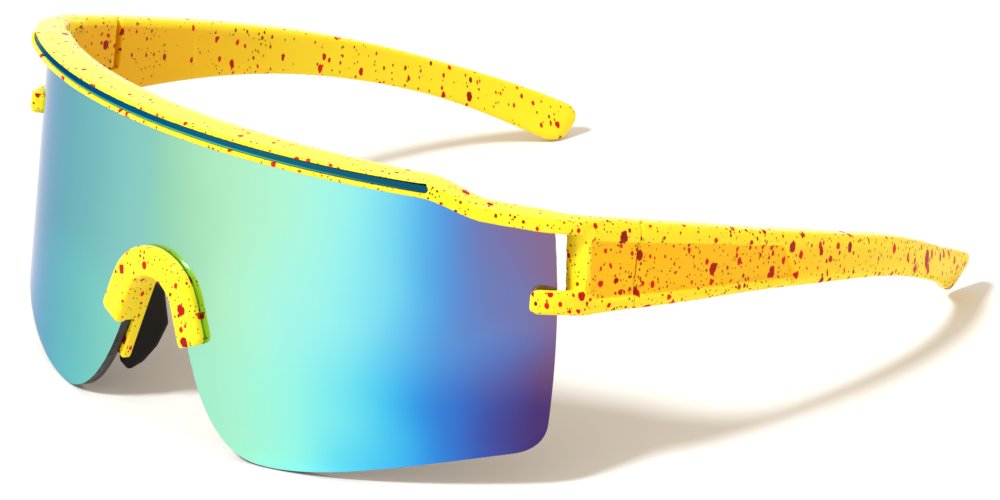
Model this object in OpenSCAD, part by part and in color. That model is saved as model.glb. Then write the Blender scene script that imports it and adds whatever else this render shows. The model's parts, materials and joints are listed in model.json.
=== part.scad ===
// Shield sunglasses. One wrap-round lens hangs in a moulded frame front, a bridge with two soft pads
// clips over the lens's nose cut-out, and two moulded temples fold on screwed hinges.
// The pieces are drawn in the lens's own frame: x points to the wearer's left, y back from the middle of
// the lens, and z up along the lens from its lowest point. stand() tips them on to the table top, where
// the glasses rest on the two lobes of the lens and on the two temple tips.

/* [Lens] */
// Radius of the lens's outer face, which is an upright cylinder
lens_radius = 97; // [90:0.5:104]
// Thickness of the lens
lens_wall = 2; // [1.6:0.1:2.2]
// Half of the lens's width, measured straight across
lens_half_width = 70.4; // [69:0.1:71.5]
// Height of the lens, with the edge that is hidden in the brow bar
lens_height = 57.2; // [55:0.2:60]
// Distance of the lens's lowest points from the middle
lobe_x = 26.7; // [24:0.1:30]
// Height of the lens's lower outer corner
corner_z = 10.5; // [8:0.1:13]
// Size of the round of the lens's lower outer corner
corner_round = 5.2; // [3:0.1:7]
// How far the lens's outer edge leans in towards its top
edge_lean = 1.8; // [0.5:0.1:2.2]
// Height of the top of the nose cut-out
nose_top = 27.8; // [26:0.1:29]
// Radius of the arch of the nose cut-out
nose_radius = 6.8; // [6.2:0.1:7.6]
// Flare of the nose cut-out's sides, in degrees
nose_flare = 22; // [18:1:25]

/* [Brow bar] */
// How deep the lens's top edge sits in the bar
seat_depth = 2.9; // [2.6:0.1:3.2]
// Thickness of the bar above the lens's top edge
roof = 0.9; // [0.7:0.1:1.4]
// How far the bar stands in front of the lens
bar_front = 3.8; // [3:0.1:4.4]
// How far the bar reaches behind the lens's outer face
bar_back = 3.2; // [3:0.1:3.8]
// How far the side arms stand in front of the lens
arm_front = 2.5; // [2.2:0.1:2.8]
// Fall of the bar's top from the middle to the step
crown = 0.6; // [0.2:0.1:0.8]
// Arc length from the middle to the start of the step
step_start = 53.5; // [51:0.1:54.5]
// Arc length that the step takes
step_run = 12; // [10:0.1:13]
// Drop of the side arms below the bar
step_drop = 3; // [2.4:0.1:3.4]
// Height of the slot window in the bar's front
slot_height = 1.5; // [1.2:0.1:1.5]
// Height of the thin lip under the slot window
slot_lip = 0.85; // [0.7:0.05:1]
// Arc length from the middle to each end of the slot window
slot_half = 55.2; // [52:0.1:56]

/* [Endpieces] */
// Arc length from each edge of the lens back to the bend that turns the side arm
bend_lead = 5.2; // [4.8:0.1:5.8]
// Radius of that bend
bend_radius = 12; // [11.6:0.1:12.6]
// Direction in which the side arms end, in degrees away from straight across
arm_way = 84.5; // [83:0.5:86]
// Gap between the lens's edge and the upright posts
post_gap = 1.35; // [1.2:0.05:1.6]
// Radius of the post's outer front corner
post_round = 2.2; // [1.6:0.1:2.6]
// How far each lower prong reaches in from the lens's edge
prong_grip = 5.1; // [4:0.1:5.6]
// Height of the lower prongs
prong_height = 4.4; // [3.8:0.1:4.8]
// How far the prongs stand in front of the lens
prong_front = 3.3; // [2.8:0.1:3.6]

/* [Temples] */
// Length of each endpiece, from its post to the seam
endpiece_length = 12.4; // [12:0.1:14]
// Drop from the bar's top to the temple's top at the seam
seam_drop = 6.2; // [5.8:0.1:6.6]
// Height of the temple at the seam
seam_height = 14.8; // [14.2:0.1:15.4]
// How far the temples stand out past the lens's edge at their widest place
side_gap = 5.1; // [4.8:0.1:5.8]
// Distance from the seam back to the widest place
side_back = 20; // [18:0.5:22]
// Length of each temple, measured straight back from the seam
temple_length = 101.8; // [98:0.2:108]
// How far each temple bows in between its widest place and its tip
temple_sweep = 20.6; // [16:0.2:24]
// How far each endpiece draws in from the widest place to the front
front_draw = 2.7; // [2.2:0.1:2.8]
// Fall of the temple's upper edge for each unit of length
top_slope = 0.145; // [0.13:0.005:0.16]
// Rise of the temple's lower edge for each unit of length
low_slope = 0.03; // [0:0.01:0.04]
// Distance from the seam to where the upper edge starts to droop
top_lead = 16; // [12:0.5:20]
// Distance from the seam to where the lower edge starts to droop
low_lead = 12; // [8:0.5:16]
// Droop of the upper edge at the tip
top_droop = 9.6; // [8:0.1:11]
// Droop of the lower edge at the tip
low_droop = 19; // [17:0.1:20]
// Thickness of the temple at the seam
arm_wall = 4.6; // [4.5:0.1:4.8]
// Thickness of the temple at its tip
tip_wall = 3; // [2.6:0.1:3.6]
// Length of the rounded tip
tip_round = 3.2; // [2.6:0.1:5]
// Slant of the rounded tip, as depth for each unit of height
tip_slant = 0.9; // [0:0.05:1]
// Radius of the long edges
edge_round = 1.4; // [1:0.1:1.6]
// Depth of the recessed outer panel
panel_depth = 0.55; // [0.4:0.05:0.7]
// Flat width of the upper ridge over the panel
ridge_top = 1.8; // [1.2:0.1:2.2]
// Flat width of the lower ridge under the panel
ridge_low = 0.8; // [0.5:0.1:1.2]
// Length of the panel behind the seam, along its upper edge
panel_length = 33.8; // [30:0.2:38]
// How much further back the lower end of the panel lies
panel_rake = 3.8; // [2:0.1:5]
// Depth of the panel inside the temple
inner_depth = 0.4; // [0.3:0.05:0.5]
// Distance from the seam to the start of the inner panel
inner_lead = 21; // [18:0.5:24]
// Length of the inner panel
inner_length = 20; // [16:0.5:24]

/* [Hinges] */
// Radius of the hinge knuckles
knuckle_radius = 1.75; // [1.65:0.05:1.8]
// Height of the temple's knuckle
knuckle_height = 3; // [2.6:0.1:3.6]
// Height of the endpiece's lower knuckle
low_knuckle = 2.2; // [2:0.1:2.6]
// Radius of the screw's shank
screw_radius = 0.6; // [0.5:0.05:0.65]
// Length of the screw below its head
screw_length = 8; // [7.5:0.1:10]
// Radius of the screw's head
head_radius = 1.05; // [0.95:0.05:1.1]
// Height of the screw's head
head_height = 0.7; // [0.5:0.05:0.8]
// Width of the slot in the screw's head
driver_slot = 0.3; // [0.25:0.05:0.35]

/* [Nose bridge] */
// Width of the bridge's front flange
flange_width = 5.5; // [5:0.1:6.2]
// Thickness of the front flange
flange_wall = 2; // [1.6:0.1:2.2]
// Thickness of the wall inside the cut-out
bridge_wall = 0.6; // [0.5:0.05:0.7]
// Depth of the rear band behind the lens's outer face
rear_depth = 4.1; // [3.8:0.1:4.6]
// Width of the rear band
rear_width = 2.8; // [2.4:0.1:3.2]
// Radius of the corners of the front flange's feet
foot_round = 1.3; // [0.8:0.1:1.6]
// Height of the ends of the front flange
flange_foot_z = 16.8; // [16:0.1:18]
// Height of the ends of the rear band
rear_foot_z = 9; // [8.5:0.1:10]

/* [Nose pads] */
// Thickness of the pads
pad_wall = 2.3; // [2:0.1:2.6]
// Distance of the pads' nose face from the middle, at their top front
pad_x = 7.6; // [7.2:0.1:8]
// Height of the pads' top
pad_top = 23.6; // [23:0.1:25]
// Height of the pads, from top to bottom
pad_height = 19; // [17:0.2:20]
// Depth of the pads, from front to back
pad_depth = 11.4; // [9:0.2:12.5]
// How much the pads spread downwards, for each unit of height
pad_slope = 0.31; // [0.28:0.01:0.34]
// How much the pads spread backwards, for each unit of depth
pad_splay = 0.32; // [0.25:0.01:0.4]
// Thickness of the tab that carries each pad
tab_wall = 0.9; // [0.8:0.05:1]
// Depth that the tab reaches into the pad
tab_reach = 4; // [3:0.1:5]

/* [Fits] */
// Gap round the lens in the frame and the bridge
lens_gap = 0.12; // [0.1:0.01:0.15]
// Gap at the seam between endpiece and temple
seam_gap = 0.2; // [0.15:0.01:0.25]
// Gap round the hinge knuckles
knuckle_gap = 0.2; // [0.15:0.01:0.22]
// Gap round the screw
screw_gap = 0.05; // [0.03:0.01:0.06]
// Gap round the tab in the pad
tab_gap = 0.1; // [0.05:0.01:0.12]

/* [Hidden] */
yellow = "#ffe92a";
round_faces = 180;
pin_faces = 48;
pad_faces = 14;
arc_steps = 12;
corner_steps = 3;
// One overrun serves every cut
over = 1;

// Heights that follow from the lens
bar_low = lens_height - seat_depth;
bar_top = lens_height + roof;
slot_low = bar_low + slot_lip;
step_end = step_start + step_run;
arm_slope = 0.05;
edge_s = asin(lens_half_width / lens_radius) / 180 * PI * lens_radius;
post_y = lens_radius - sqrt(pow(lens_radius, 2) - pow(lens_half_width, 2)) + post_gap;
seam_y = post_y + endpiece_length;
seam_top = bar_top - seam_drop;
seam_low = seam_top - seam_height;
front_slope = 0.6;
bar_edge = 0.7;
lip_edge = 0.3;
strip_width = 2.4;

// Turns an arc length on the lens's outer face into an angle
function turn(s) = s / lens_radius * 180 / PI;

// A point at arc length s and height z, standing out from the lens's outer face
function on_lens(s, z, out) = [(lens_radius + out) * sin(turn(s)),
    lens_radius - (lens_radius + out) * cos(turn(s)), z];

// Depth of the lens's outer face at distance x from the middle
function lens_y(x, out) = lens_radius - sqrt(pow(lens_radius + out, 2) - x * x);

// Smooth rise from 0 to 1
function smooth(u) = let (v = min(1, max(0, u))) v * v * (3 - 2 * v);
function mix(a, b, u) = a + (b - a) * u;

// What the bar's top and the lens's top have dropped at arc length s from the middle
function fall(s) = crown * pow(min(s, step_start) / step_start, 2)
    + step_drop * smooth((s - step_start) / step_run)
    + arm_slope * max(0, s - step_end);

// Places along the top of the lens and the bar: wide apart on the plain arc, close together in the step
plain_steps = 14;
step_steps = 8;
arm_steps = 2;
function top_places(last) = concat(
    [for (i = [0 : plain_steps]) step_start * i / plain_steps],
    [for (i = [1 : step_steps]) step_start + step_run * i / step_steps],
    [for (i = [1 : arm_steps]) mix(step_end, last, i / arm_steps)]);
function both_sides(places) = concat([for (i = [len(places) - 1 : -1 : 1]) -places[i]], places);

// Points of a cubic curve through its two ends
function curve(a, b, c, d, n) = [for (i = [0 : n]) let (t = i / n, u = 1 - t)
    u * u * u * a + 3 * u * u * t * b + 3 * u * t * t * c + t * t * t * d];

function back_to_front(list) = [for (i = [len(list) - 1 : -1 : 0]) list[i]];
function flip_x(list) = [for (p = list) [-p[0], p[1]]];

// Quarter-round corner of a section: a list of points round a centre
function corner(x, z, r, from) = [for (i = [0 : corner_steps]) let (a = from + 90 * i / corner_steps)
    [x + r * cos(a), z + r * sin(a)]];

function centre(ring) = [for (p = ring) 1] * ring / len(ring);

// Skins a row of closed rings and closes both ends round their centres
module loft(rings) {
    n = len(rings[0]);
    m = len(rings);
    sides = [for (i = [0 : m - 2]) for (j = [0 : n - 1])
        let (a = i * n + j, b = i * n + (j + 1) % n)
        each [[a, b, b + n], [a, b + n, a + n]]];
    first = [for (j = [0 : n - 1]) [(j + 1) % n, j, m * n]];
    last = [for (j = [0 : n - 1]) [(m - 1) * n + j, (m - 1) * n + (j + 1) % n, m * n + 1]];
    polyhedron(concat([for (ring = rings) each ring], [centre(rings[0]), centre(rings[m - 1])]),
        concat(first, sides, last), convexity = 8);
}

// The lens's outline on the wearer's left, from the nose arch round to the top, as straight x and z
nose_z = nose_top - nose_radius;
arch_end = [nose_radius * cos(nose_flare), nose_z + nose_radius * sin(nose_flare)];
flare_way = [sin(nose_flare), -cos(nose_flare)];
flare_foot_share = 0.583;
side_start = arch_end + (arch_end[1] - nose_top * flare_foot_share) / cos(nose_flare) * flare_way;
corner_in_share = 0.79;
corner_x = lens_half_width - corner_round * corner_in_share;
edge_top_x = lens_half_width - edge_lean;
edge_top_s = asin(edge_top_x / lens_radius) / 180 * PI * lens_radius;
function nose_arch() = [for (i = [0 : arc_steps]) let (a = mix(90, nose_flare, i / arc_steps))
    [nose_radius * cos(a), nose_z + nose_radius * sin(a)]];

// The lobe's two curves: how far their tangents pull, as shares of the heights and widths they span
flare_pull_share = 0.48;
lobe_pull_share = 0.655;
sweep_shares = [0.29, 0.64];
sweep_rise_share = 0.53;
function lobe() = concat(
    curve(side_start, side_start + side_start[1] * flare_pull_share * flare_way,
        [lobe_x * lobe_pull_share, 0], [lobe_x, 0], arc_steps),
    curve([lobe_x, 0], [mix(lobe_x, corner_x, sweep_shares[0]), 0],
        [mix(lobe_x, corner_x, sweep_shares[1]), corner_z * sweep_rise_share],
        [corner_x, corner_z], arc_steps));

// The lower outer corner, in shares of its round, and the outer edge, in shares of its lean and the height
corner_shares = [[0.52, 0.17], [-0.02, 0.58], [0, 1.15]];
edge_shares = [[0.16, 0.5], [-0.1, 0.72]];
function corner_spot(x, i) = [x, corner_z] + corner_round * corner_shares[i];
function edge_spot(i) = [lens_half_width + edge_lean * edge_shares[i][0], lens_height * edge_shares[i][1]];
function outer_edge() = concat(
    curve([corner_x, corner_z], corner_spot(corner_x, 0), corner_spot(lens_half_width, 1),
        corner_spot(lens_half_width, 2), arc_steps / 2),
    curve(corner_spot(lens_half_width, 2), edge_spot(0), edge_spot(1),
        [edge_top_x, lens_height - fall(edge_top_s)], arc_steps));
function lens_top() = [for (s = back_to_front(top_places(edge_top_s)))
    [lens_radius * sin(turn(s)), lens_height - fall(s)]];
lens_side = concat(nose_arch(), lobe(), outer_edge(), lens_top());

module lens_shell(inside, outside, low, high) {
    translate([0, lens_radius, low])
        difference() {
            cylinder(r = lens_radius + outside, h = high - low, $fn = round_faces);
            translate([0, 0, -over])
                cylinder(r = lens_radius - inside, h = high - low + 2 * over, $fn = round_faces);
        }
}

// All that lies on the rays that run out from the lens's axis through an outline on its outer face, so that
// the edges it cuts stand square to the lens
module ray_block(side_outline) {
    whole = concat(back_to_front(side_outline), flip_x([for (p = side_outline) if (p[0] > 0) p]));
    n = len(whole);
    points = [for (reach = [lens_radius / 2, lens_radius + over]) for (p = whole)
        [p[0] / sqrt(1 - pow(p[0] / lens_radius, 2)) * reach / lens_radius, lens_radius - reach, p[1]]];
    sides = [for (j = [0 : n - 1]) let (k = (j + 1) % n) each [[j, k, k + n], [j, k + n, j + n]]];
    polyhedron(points, concat([[for (j = [n - 1 : -1 : 0]) j]], sides, [[for (j = [0 : n - 1]) j + n]]),
        convexity = 8);
}

module shield_lens() {
    color("#54c8c0")
        stand()
            intersection() {
                lens_shell(lens_wall, 0, -over, lens_height + over);
                ray_block(lens_side);
            }
}

// The room that the lens needs in the frame: its wall and its top edge with a gap all round, carried along
// the lens in short steps
room_end = max([for (p = lens_side) asin(p[0] / lens_radius)]) / 180 * PI * lens_radius + lens_gap;
function room_ring(s) = let (back = -lens_wall - lens_gap, top = lens_height + lens_gap - fall(abs(s)))
    [on_lens(s, -over, lens_gap), on_lens(s, top, lens_gap), on_lens(s, top, back), on_lens(s, -over, back)];

module lens_room() {
    loft([for (s = both_sides(top_places(room_end))) room_ring(s)]);
}

// Plan of the frame: round the lens, round the bend, and straight back
bend_start = edge_s - bend_lead;
bend_from = turn(bend_start);
bend_length = bend_radius * (arm_way - bend_from) / 180 * PI;
bend_centre = [(lens_radius - bend_radius) * sin(bend_from),
    lens_radius - (lens_radius - bend_radius) * cos(bend_from)];
bend_last = bend_centre + bend_radius * [sin(arm_way), -cos(arm_way)];
function frame_turn(q) = q < bend_start ? turn(q)
    : min(arm_way, bend_from + (q - bend_start) / bend_radius * 180 / PI);
function frame_spot(q) = q < bend_start ? lens_radius * [sin(turn(q)), 1 - cos(turn(q))]
    : q < bend_start + bend_length ? bend_centre + bend_radius * [sin(frame_turn(q)), -cos(frame_turn(q))]
    : bend_last + (q - bend_start - bend_length) * [cos(arm_way), sin(arm_way)];

// Places a section, given as points that stand out from the frame line and up, at length q along it.
// A negative q is on the wearer's right.
function frame_ring(section, q) = let (side = q < 0 ? -1 : 1,
        spot = frame_spot(abs(q)), a = frame_turn(abs(q)))
    [for (p = section) [side * (spot[0] + p[0] * sin(a)), spot[1] - p[0] * cos(a), p[1]]];

// Section of the brow bar at length q: upright front, gently sloped top, flat strip at the back. Its back
// draws forward and sinks a little round the bend, to end inside the endpiece.
rail_end = bend_start + bend_length + post_round;
sink_share = 0.2;
function bar_section(q) = let (s = min(q, rail_end), high = bar_top - fall(s),
        low = bar_low - fall(s) + crown * pow(min(s, step_start) / step_start, 2),
        front = mix(bar_front, arm_front, smooth((s - step_start) / step_run)),
        bend = smooth((q - bend_start) / bend_length), back = bar_back - arm_wall * sink_share * bend,
        rear = high - bar_edge * bend)
    concat(corner(front - lip_edge, low + lip_edge, lip_edge, 270),
        corner(front - bar_edge, high - front_slope - bar_edge, bar_edge, 0),
        [[strip_width - back, rear]],
        corner(bar_edge - back, rear - bar_edge, bar_edge, 90),
        corner(bar_edge - back, low + bar_edge, bar_edge, 180));

bend_steps = 7;
bar_places = both_sides(concat(top_places(bend_start),
    [for (i = [1 : bend_steps]) bend_start + bend_length * i / bend_steps], [rail_end]));

module brow_bar() {
    loft([for (q = bar_places) frame_ring(bar_section(abs(q)), q)]);
}

// The slot window lets the lens's top edge show through the bar's front. Its ends are round.
slot_round = slot_height / 2;
slot_end_share = 0.15;
function slot_ring(s) = let (past = max(0, abs(s) - slot_half + slot_round), middle = slot_low + slot_round,
        half = max(slot_round * slot_end_share, sqrt(max(0, slot_round * slot_round - past * past))))
    [on_lens(s, middle - half, bar_front + over), on_lens(s, middle + half, bar_front + over),
        on_lens(s, middle + half, -lens_wall / 2), on_lens(s, middle - half, -lens_wall / 2)];
slot_places = concat([for (i = [0 : plain_steps - 1]) (slot_half - slot_round) * i / plain_steps],
    [for (i = [0 : arc_steps / 2]) slot_half - slot_round * (1 - sin(180 * i / arc_steps))]);

module slot_window() {
    loft([for (s = both_sides(slot_places)) slot_ring(s)]);
}

// The lower prong grips the lens's outer edge: a short rounded bar, with the lens's room cut through it. Its
// top falls towards the back.
prong_end = edge_s - prong_grip;
prong_drop_share = 0.2;
prong_fall_share = 0.3;
prong_low = seam_low - prong_height * prong_drop_share;
prong_round = edge_round * 0.7;
prong_shares = [[0, 0.72], [0.04, 0.88], [0.1, 0.97], [0.2, 1], [0.45, 1], [0.7, 1], [1, 1]];
function prong_section(share, size) = let (r = prong_round, back = bar_back - arm_wall * sink_share * share,
        out = mix(prong_front, arm_front, share) - (1 - size) * prong_front / 2,
        half = prong_height / 2 * size, middle = prong_low + prong_height / 2,
        rear = middle + half * (1 - 2 * prong_fall_share))
    concat(corner(out - r, middle + half - r, r, 0), corner(r - back, rear - r, r, 90),
        corner(r - back, middle - half + r, r, 180), corner(out - r, middle - half + r, r, 270));

module prong() {
    loft([for (p = prong_shares)
        frame_ring(prong_section(p[0], p[1]), mix(prong_end, rail_end, p[0]))]);
}

// Outline of the temple along its length y, and of the endpiece, which runs on from it
tip_y = seam_y + temple_length;
side_x = lens_half_width + side_gap;
side_y = seam_y + side_back;
panel_end_y = seam_y + panel_length;
inner_start_y = seam_y + inner_lead;
sweep_power = 2.15;
top_power = 2.9;
low_power = 2.27;
function arm_outer(y) = side_x - (y < side_y ? front_draw * pow((side_y - y) / (side_y - post_y), 2)
    : temple_sweep * pow((y - side_y) / (tip_y - side_y), sweep_power));
function droop(y, lead, power) = pow(max(0, y - seam_y - lead) / (temple_length - lead), power);
function arm_top(y) = seam_top - top_slope * (y - seam_y) - top_droop * droop(y, top_lead, top_power);
function arm_low(y) = seam_low + low_slope * (y - seam_y) - low_droop * droop(y, low_lead, low_power);
function arm_thick(y) = mix(arm_wall, tip_wall, smooth((y - side_y) / (tip_y - side_y)));
function arm_size(y) = (arm_top(y) - arm_low(y)) / (seam_top - seam_low);

// How much of the outer panel's depth is left at depth y, at its upper and its lower edge
function panel_share(y, end) = y < post_y + post_round ? 0 : 1 - smooth((y - end) / panel_depth);
inner_fade_share = 0.4;
function inner_share(y) = smooth((y - inner_start_y) / inner_depth)
    * (1 - smooth(1 - (inner_start_y + inner_length - y) / (inner_length * inner_fade_share)));

// Section of endpiece and temple at depth y: rounded edges, a ridge above and below each panel.
// Nose is how far the outer front corner is rounded off there.
thick_share = 0.45;
least_share = 0.35;
ease_share = 0.4;
function arm_section(y, nose) = let (
        out = arm_outer(y) - nose, inner = arm_outer(y) - arm_thick(y), top = arm_top(y), low = arm_low(y),
        size = arm_size(y), r = min((out - inner) * thick_share, edge_round * mix(least_share, 1, size)),
        high_line = top - r - ridge_top * size, low_line = low + r + ridge_low * size,
        ease = panel_depth * ease_share * size, high_cut = panel_depth * panel_share(y, panel_end_y),
        low_cut = panel_depth * panel_share(y, panel_end_y + panel_rake),
        inner_cut = inner_depth * inner_share(y))
    concat(corner(out - r, top - r, r, 0), corner(inner + r, top - r, r, 90),
        [[inner, high_line + ease], [inner + inner_cut, high_line - ease],
            [inner + inner_cut, low_line + ease], [inner, low_line - ease]],
        corner(inner + r, low + r, r, 180), corner(out - r, low + r, r, 270),
        [[out, low_line - ease], [out - low_cut, low_line + ease],
            [out - high_cut, high_line - ease], [out, high_line + ease]]);
function arm_ring(y, nose) = [for (p = arm_section(y, nose)) [p[0], y, p[1]]];

// Rings of the rounded tip: each is drawn in towards the middle of the temple
tip_steps = 5;
tip_turn = 84;
function tip_ring(share) = let (size = cos(tip_turn * share), slant = tip_slant * size * sin(90 * share),
        y = mix(tip_y - tip_round, tip_y, sin(90 * share)),
        x = arm_outer(y) - arm_thick(y) / 2, z = (arm_top(y) + arm_low(y)) / 2)
    [for (p = arm_ring(y, 0)) [mix(x, p[0], size), y + (p[2] - z) * slant, mix(z, p[2], size)]];

// Where the rings lie, as shares of the length between the seam and the start of the tip
place_shares = [0.04, 0.09, 0.14, 0.19, 0.25, 0.31, 0.43, 0.49, 0.55, 0.61, 0.67, 0.73, 0.78, 0.83, 0.88,
    0.92, 0.96];
panel_places = [for (rake = [0, panel_rake]) for (k = [0 : 2]) panel_end_y + rake + panel_depth * k / 2];
inner_places = [inner_start_y, inner_start_y + inner_depth];
function between(list, low, high) = [for (v = list) if (v > low && v < high) v];
function sorted(list) = len(list) < 2 ? list : let (first = min(list))
    concat([first], sorted([for (v = list) if (v > first) v]));
temple_places = sorted(concat([seam_y - knuckle_radius - over],
    [for (k = place_shares) mix(seam_y, tip_y - tip_round, k)], panel_places, inner_places));
temple_rings = concat([for (y = temple_places) arm_ring(y, 0)],
    [for (i = [0 : tip_steps]) tip_ring(i / tip_steps)]);

// The endpiece starts with a rounded post, so its outer front corner is drawn in
post_steps = 4;
endpiece_rings = concat(
    [for (i = [0 : post_steps]) let (a = 90 * i / post_steps)
        arm_ring(post_y + post_round * (1 - cos(a)), post_round * (1 - sin(a)))],
    [for (k = [1 : 2]) arm_ring(post_y + post_round + panel_depth * k / 2, 0)],
    [for (k = [1 : 3]) arm_ring(mix(post_y + post_round, seam_y + knuckle_radius + over, k / 3), 0)]);

// Hinge: an upright axis that lets the knuckles lie flush with the temple's inner face
hinge_x = arm_outer(seam_y) - arm_wall + knuckle_radius;
knuckle_low = arm_low(seam_y) + low_knuckle;
knuckle_top = knuckle_low + knuckle_height;
relief = knuckle_radius + knuckle_gap * 2.5;
pocket_depth = head_height * 1.3;
head_lift = head_height * 0.3;

module at_hinge(z) {
    translate([hinge_x, seam_y, z])
        children();
}

// All that lies in front of the seam, or behind it
module half_space(way, gap) {
    reach = side_x * 2;
    translate([-reach / 2, way > 0 ? seam_y + gap : seam_y - reach, -reach / 2])
        cube([reach, reach, reach * 2]);
}

// Clears the inner corner beside the knuckles, so that the inner face can swing past it
module corner_relief(way, low, high) {
    at_hinge(low)
        linear_extrude(height = high - low)
            polygon([[0, 0], [0, way * (knuckle_radius + knuckle_gap)], [-knuckle_radius, way * relief],
                [-knuckle_radius - over, way * relief], [-knuckle_radius - over, 0]]);
}

module knuckle(radius, low, high) {
    at_hinge(low)
        cylinder(r = radius, h = high - low, $fn = pin_faces);
}

module endpiece() {
    difference() {
        intersection() {
            loft(endpiece_rings);
            union() {
                half_space(-1, 0);
                knuckle(knuckle_radius, 0, knuckle_low);
                knuckle(knuckle_radius, knuckle_top, lens_height);
            }
        }
        knuckle(knuckle_radius + knuckle_gap, knuckle_low, knuckle_top);
        corner_relief(-1, knuckle_low, knuckle_top);
        screw_bore();
    }
}

module screw_bore() {
    at_hinge(arm_low(seam_y) - over)
        cylinder(r = head_radius + screw_gap, h = over + pocket_depth, $fn = pin_faces);
    at_hinge(arm_low(seam_y))
        cylinder(r = screw_radius + screw_gap, h = pocket_depth + screw_length + screw_gap, $fn = pin_faces);
}

module side_parts() {
    endpiece();
    prong();
}

module front_frame() {
    color(yellow)
        stand()
            difference() {
                union() {
                    brow_bar();
                    side_parts();
                    mirror([1, 0, 0])
                        side_parts();
                }
                lens_room();
                slot_window();
            }
}

module temple() {
    color(yellow)
        difference() {
            intersection() {
                loft(temple_rings);
                union() {
                    half_space(1, seam_gap);
                    knuckle(knuckle_radius, knuckle_low + knuckle_gap, knuckle_top - knuckle_gap);
                }
            }
            knuckle(knuckle_radius + knuckle_gap, 0, knuckle_low + knuckle_gap);
            knuckle(knuckle_radius + knuckle_gap, knuckle_top - knuckle_gap, lens_height);
            corner_relief(1, 0, knuckle_low + knuckle_gap);
            corner_relief(1, knuckle_top - knuckle_gap, lens_height);
            at_hinge(0)
                cylinder(r = screw_radius + screw_gap, h = lens_height, $fn = pin_faces);
        }
}

module hinge_screw() {
    color("silver")
        at_hinge(arm_low(seam_y) + head_lift)
            difference() {
                union() {
                    cylinder(r = head_radius, h = head_height, $fn = pin_faces);
                    cylinder(r = screw_radius, h = head_height + screw_length, $fn = pin_faces);
                }
                translate([-driver_slot / 2, -head_radius - over, -over])
                    cube([driver_slot, 2 * (head_radius + over), over + head_height / 2]);
            }
}

module temple_left() {
    stand()
        temple();
}

module temple_right() {
    stand()
        mirror([1, 0, 0])
            temple();
}

module hinge_screw_left() {
    stand()
        hinge_screw();
}

module hinge_screw_right() {
    stand()
        mirror([1, 0, 0])
            hinge_screw();
}

// Path of the bridge: up one side of the cut-out, over its arch and down the other side, in arc length and
// height on the lens
function leg_length(foot_z) = (arch_end[1] - foot_z) / cos(nose_flare);
function bridge_way(share) = mix(nose_flare, 180 - nose_flare, share);

// A ring of the bridge: a share of 0 is the arch's end on the wearer's left, a share of 1 its other end, and
// leg is how far below that end the ring lies. The section's points are [outwards from the cut-out's edge,
// out from the lens's outer face].
function bridge_ring(section, share, leg) = let (a = bridge_way(share), side = share < 0.5 ? 1 : -1,
        spot = [0, nose_z] + nose_radius * [cos(a), sin(a)] + leg * [side * flare_way[0], flare_way[1]])
    [for (p = section) on_lens(spot[0] + p[0] * cos(a), spot[1] + p[0] * sin(a), p[1])];

// Channel section of the bridge: flange in front, wall in the cut-out, band behind. At its feet the flange
// shrinks to the wall, and the wall to the band's front face, which leaves two legs that run on down.
bridge_in = -lens_gap - bridge_wall;
bridge_rear = -lens_wall - lens_gap;
band_round = bridge_wall * 0.6;
round_share = 0.3;
face_share = 0.5;
function channel_section(drawn) = let (r = flange_wall / 2 - drawn * round_share, e = band_round,
        edge = bridge_in + flange_width - drawn, front = lens_gap + flange_wall - drawn * face_share)
    concat(corner(edge - r, front - r, r, 0), corner(bridge_in + r, front - r, r, 90),
        corner(bridge_in + e, e - rear_depth, e, 180),
        corner(bridge_in + rear_width - e, e - rear_depth, e, 270),
        [[bridge_in + rear_width, bridge_rear], [-lens_gap, bridge_rear],
            [-lens_gap, lens_gap], [edge, lens_gap]]);
flange_count = 2 * (corner_steps + 1);
full_section = channel_section(0);
full_count = len(full_section);
late_shares = [0.1, 0.2];
wall_front_share = 0.3;
wall_bulge_share = 0.2;
function wall_section() = [for (i = [0 : full_count - 1])
    let (a = 180 * i / (flange_count - 1), late = i - full_count + 2)
    i < flange_count ? [bridge_in + bridge_wall * (1 + cos(a)) / 2,
            lens_gap + flange_wall * (wall_front_share + wall_bulge_share * sin(a))]
        : late < 0 ? full_section[i]
        : [-lens_gap, lens_gap + flange_wall * late_shares[late]]];
function leg_section(size) = let (middle = (bridge_rear - rear_depth) / 2)
    [for (i = [0 : full_count - 1]) let (p = full_section[i], late = i - full_count + 2,
            share = late < 0 ? mix(wall_front_share, 1, i / (flange_count - 1)) : late_shares[late])
        i < flange_count || late >= 0 ? [mix(-lens_gap, bridge_in, share), mix(middle, bridge_rear, size)]
            : [p[0], mix(middle, p[1], size)]];

// Where the rings of the bridge lie: at each end the legs, then the flange's feet, then the arch
flange_leg = leg_length(flange_foot_z);
rear_leg = leg_length(rear_foot_z);
foot_bevel = flange_wall * 0.2;
leg_steps = 4;
arch_steps = 14;
leg_end_share = 0.6;
foot_turns = [70, 45, 20];
function leg_rings(share) = [for (i = [0 : leg_steps])
    bridge_ring(leg_section(i == 0 ? leg_end_share : 1), share,
        mix(rear_leg, flange_leg + foot_bevel * 2, i / leg_steps))];
function flange_rings(share) = concat([bridge_ring(wall_section(), share, flange_leg + foot_bevel)],
    [for (a = foot_turns) bridge_ring(channel_section(foot_round * (1 - cos(a))), share,
        flange_leg - foot_round * (1 - sin(a)))],
    [for (i = [0 : leg_steps - 1])
        bridge_ring(full_section, share, mix(flange_leg - foot_round, 0, i / leg_steps))]);

module nose_bridge() {
    color(yellow)
        stand() {
            loft(concat(leg_rings(0), flange_rings(0),
                [for (i = [0 : arch_steps]) bridge_ring(full_section, i / arch_steps, 0)],
                back_to_front(flange_rings(1)), back_to_front(leg_rings(1))));
            pad_tab(0);
            mirror([1, 0, 0])
                pad_tab(0);
        }
}

// The pads seat on the rear band's legs
foot_x = arch_end[0] + rear_leg * flare_way[0] + (bridge_in + rear_width) * cos(nose_flare);
pad_y = lens_y(foot_x, -rear_depth) + tab_gap;

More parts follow.
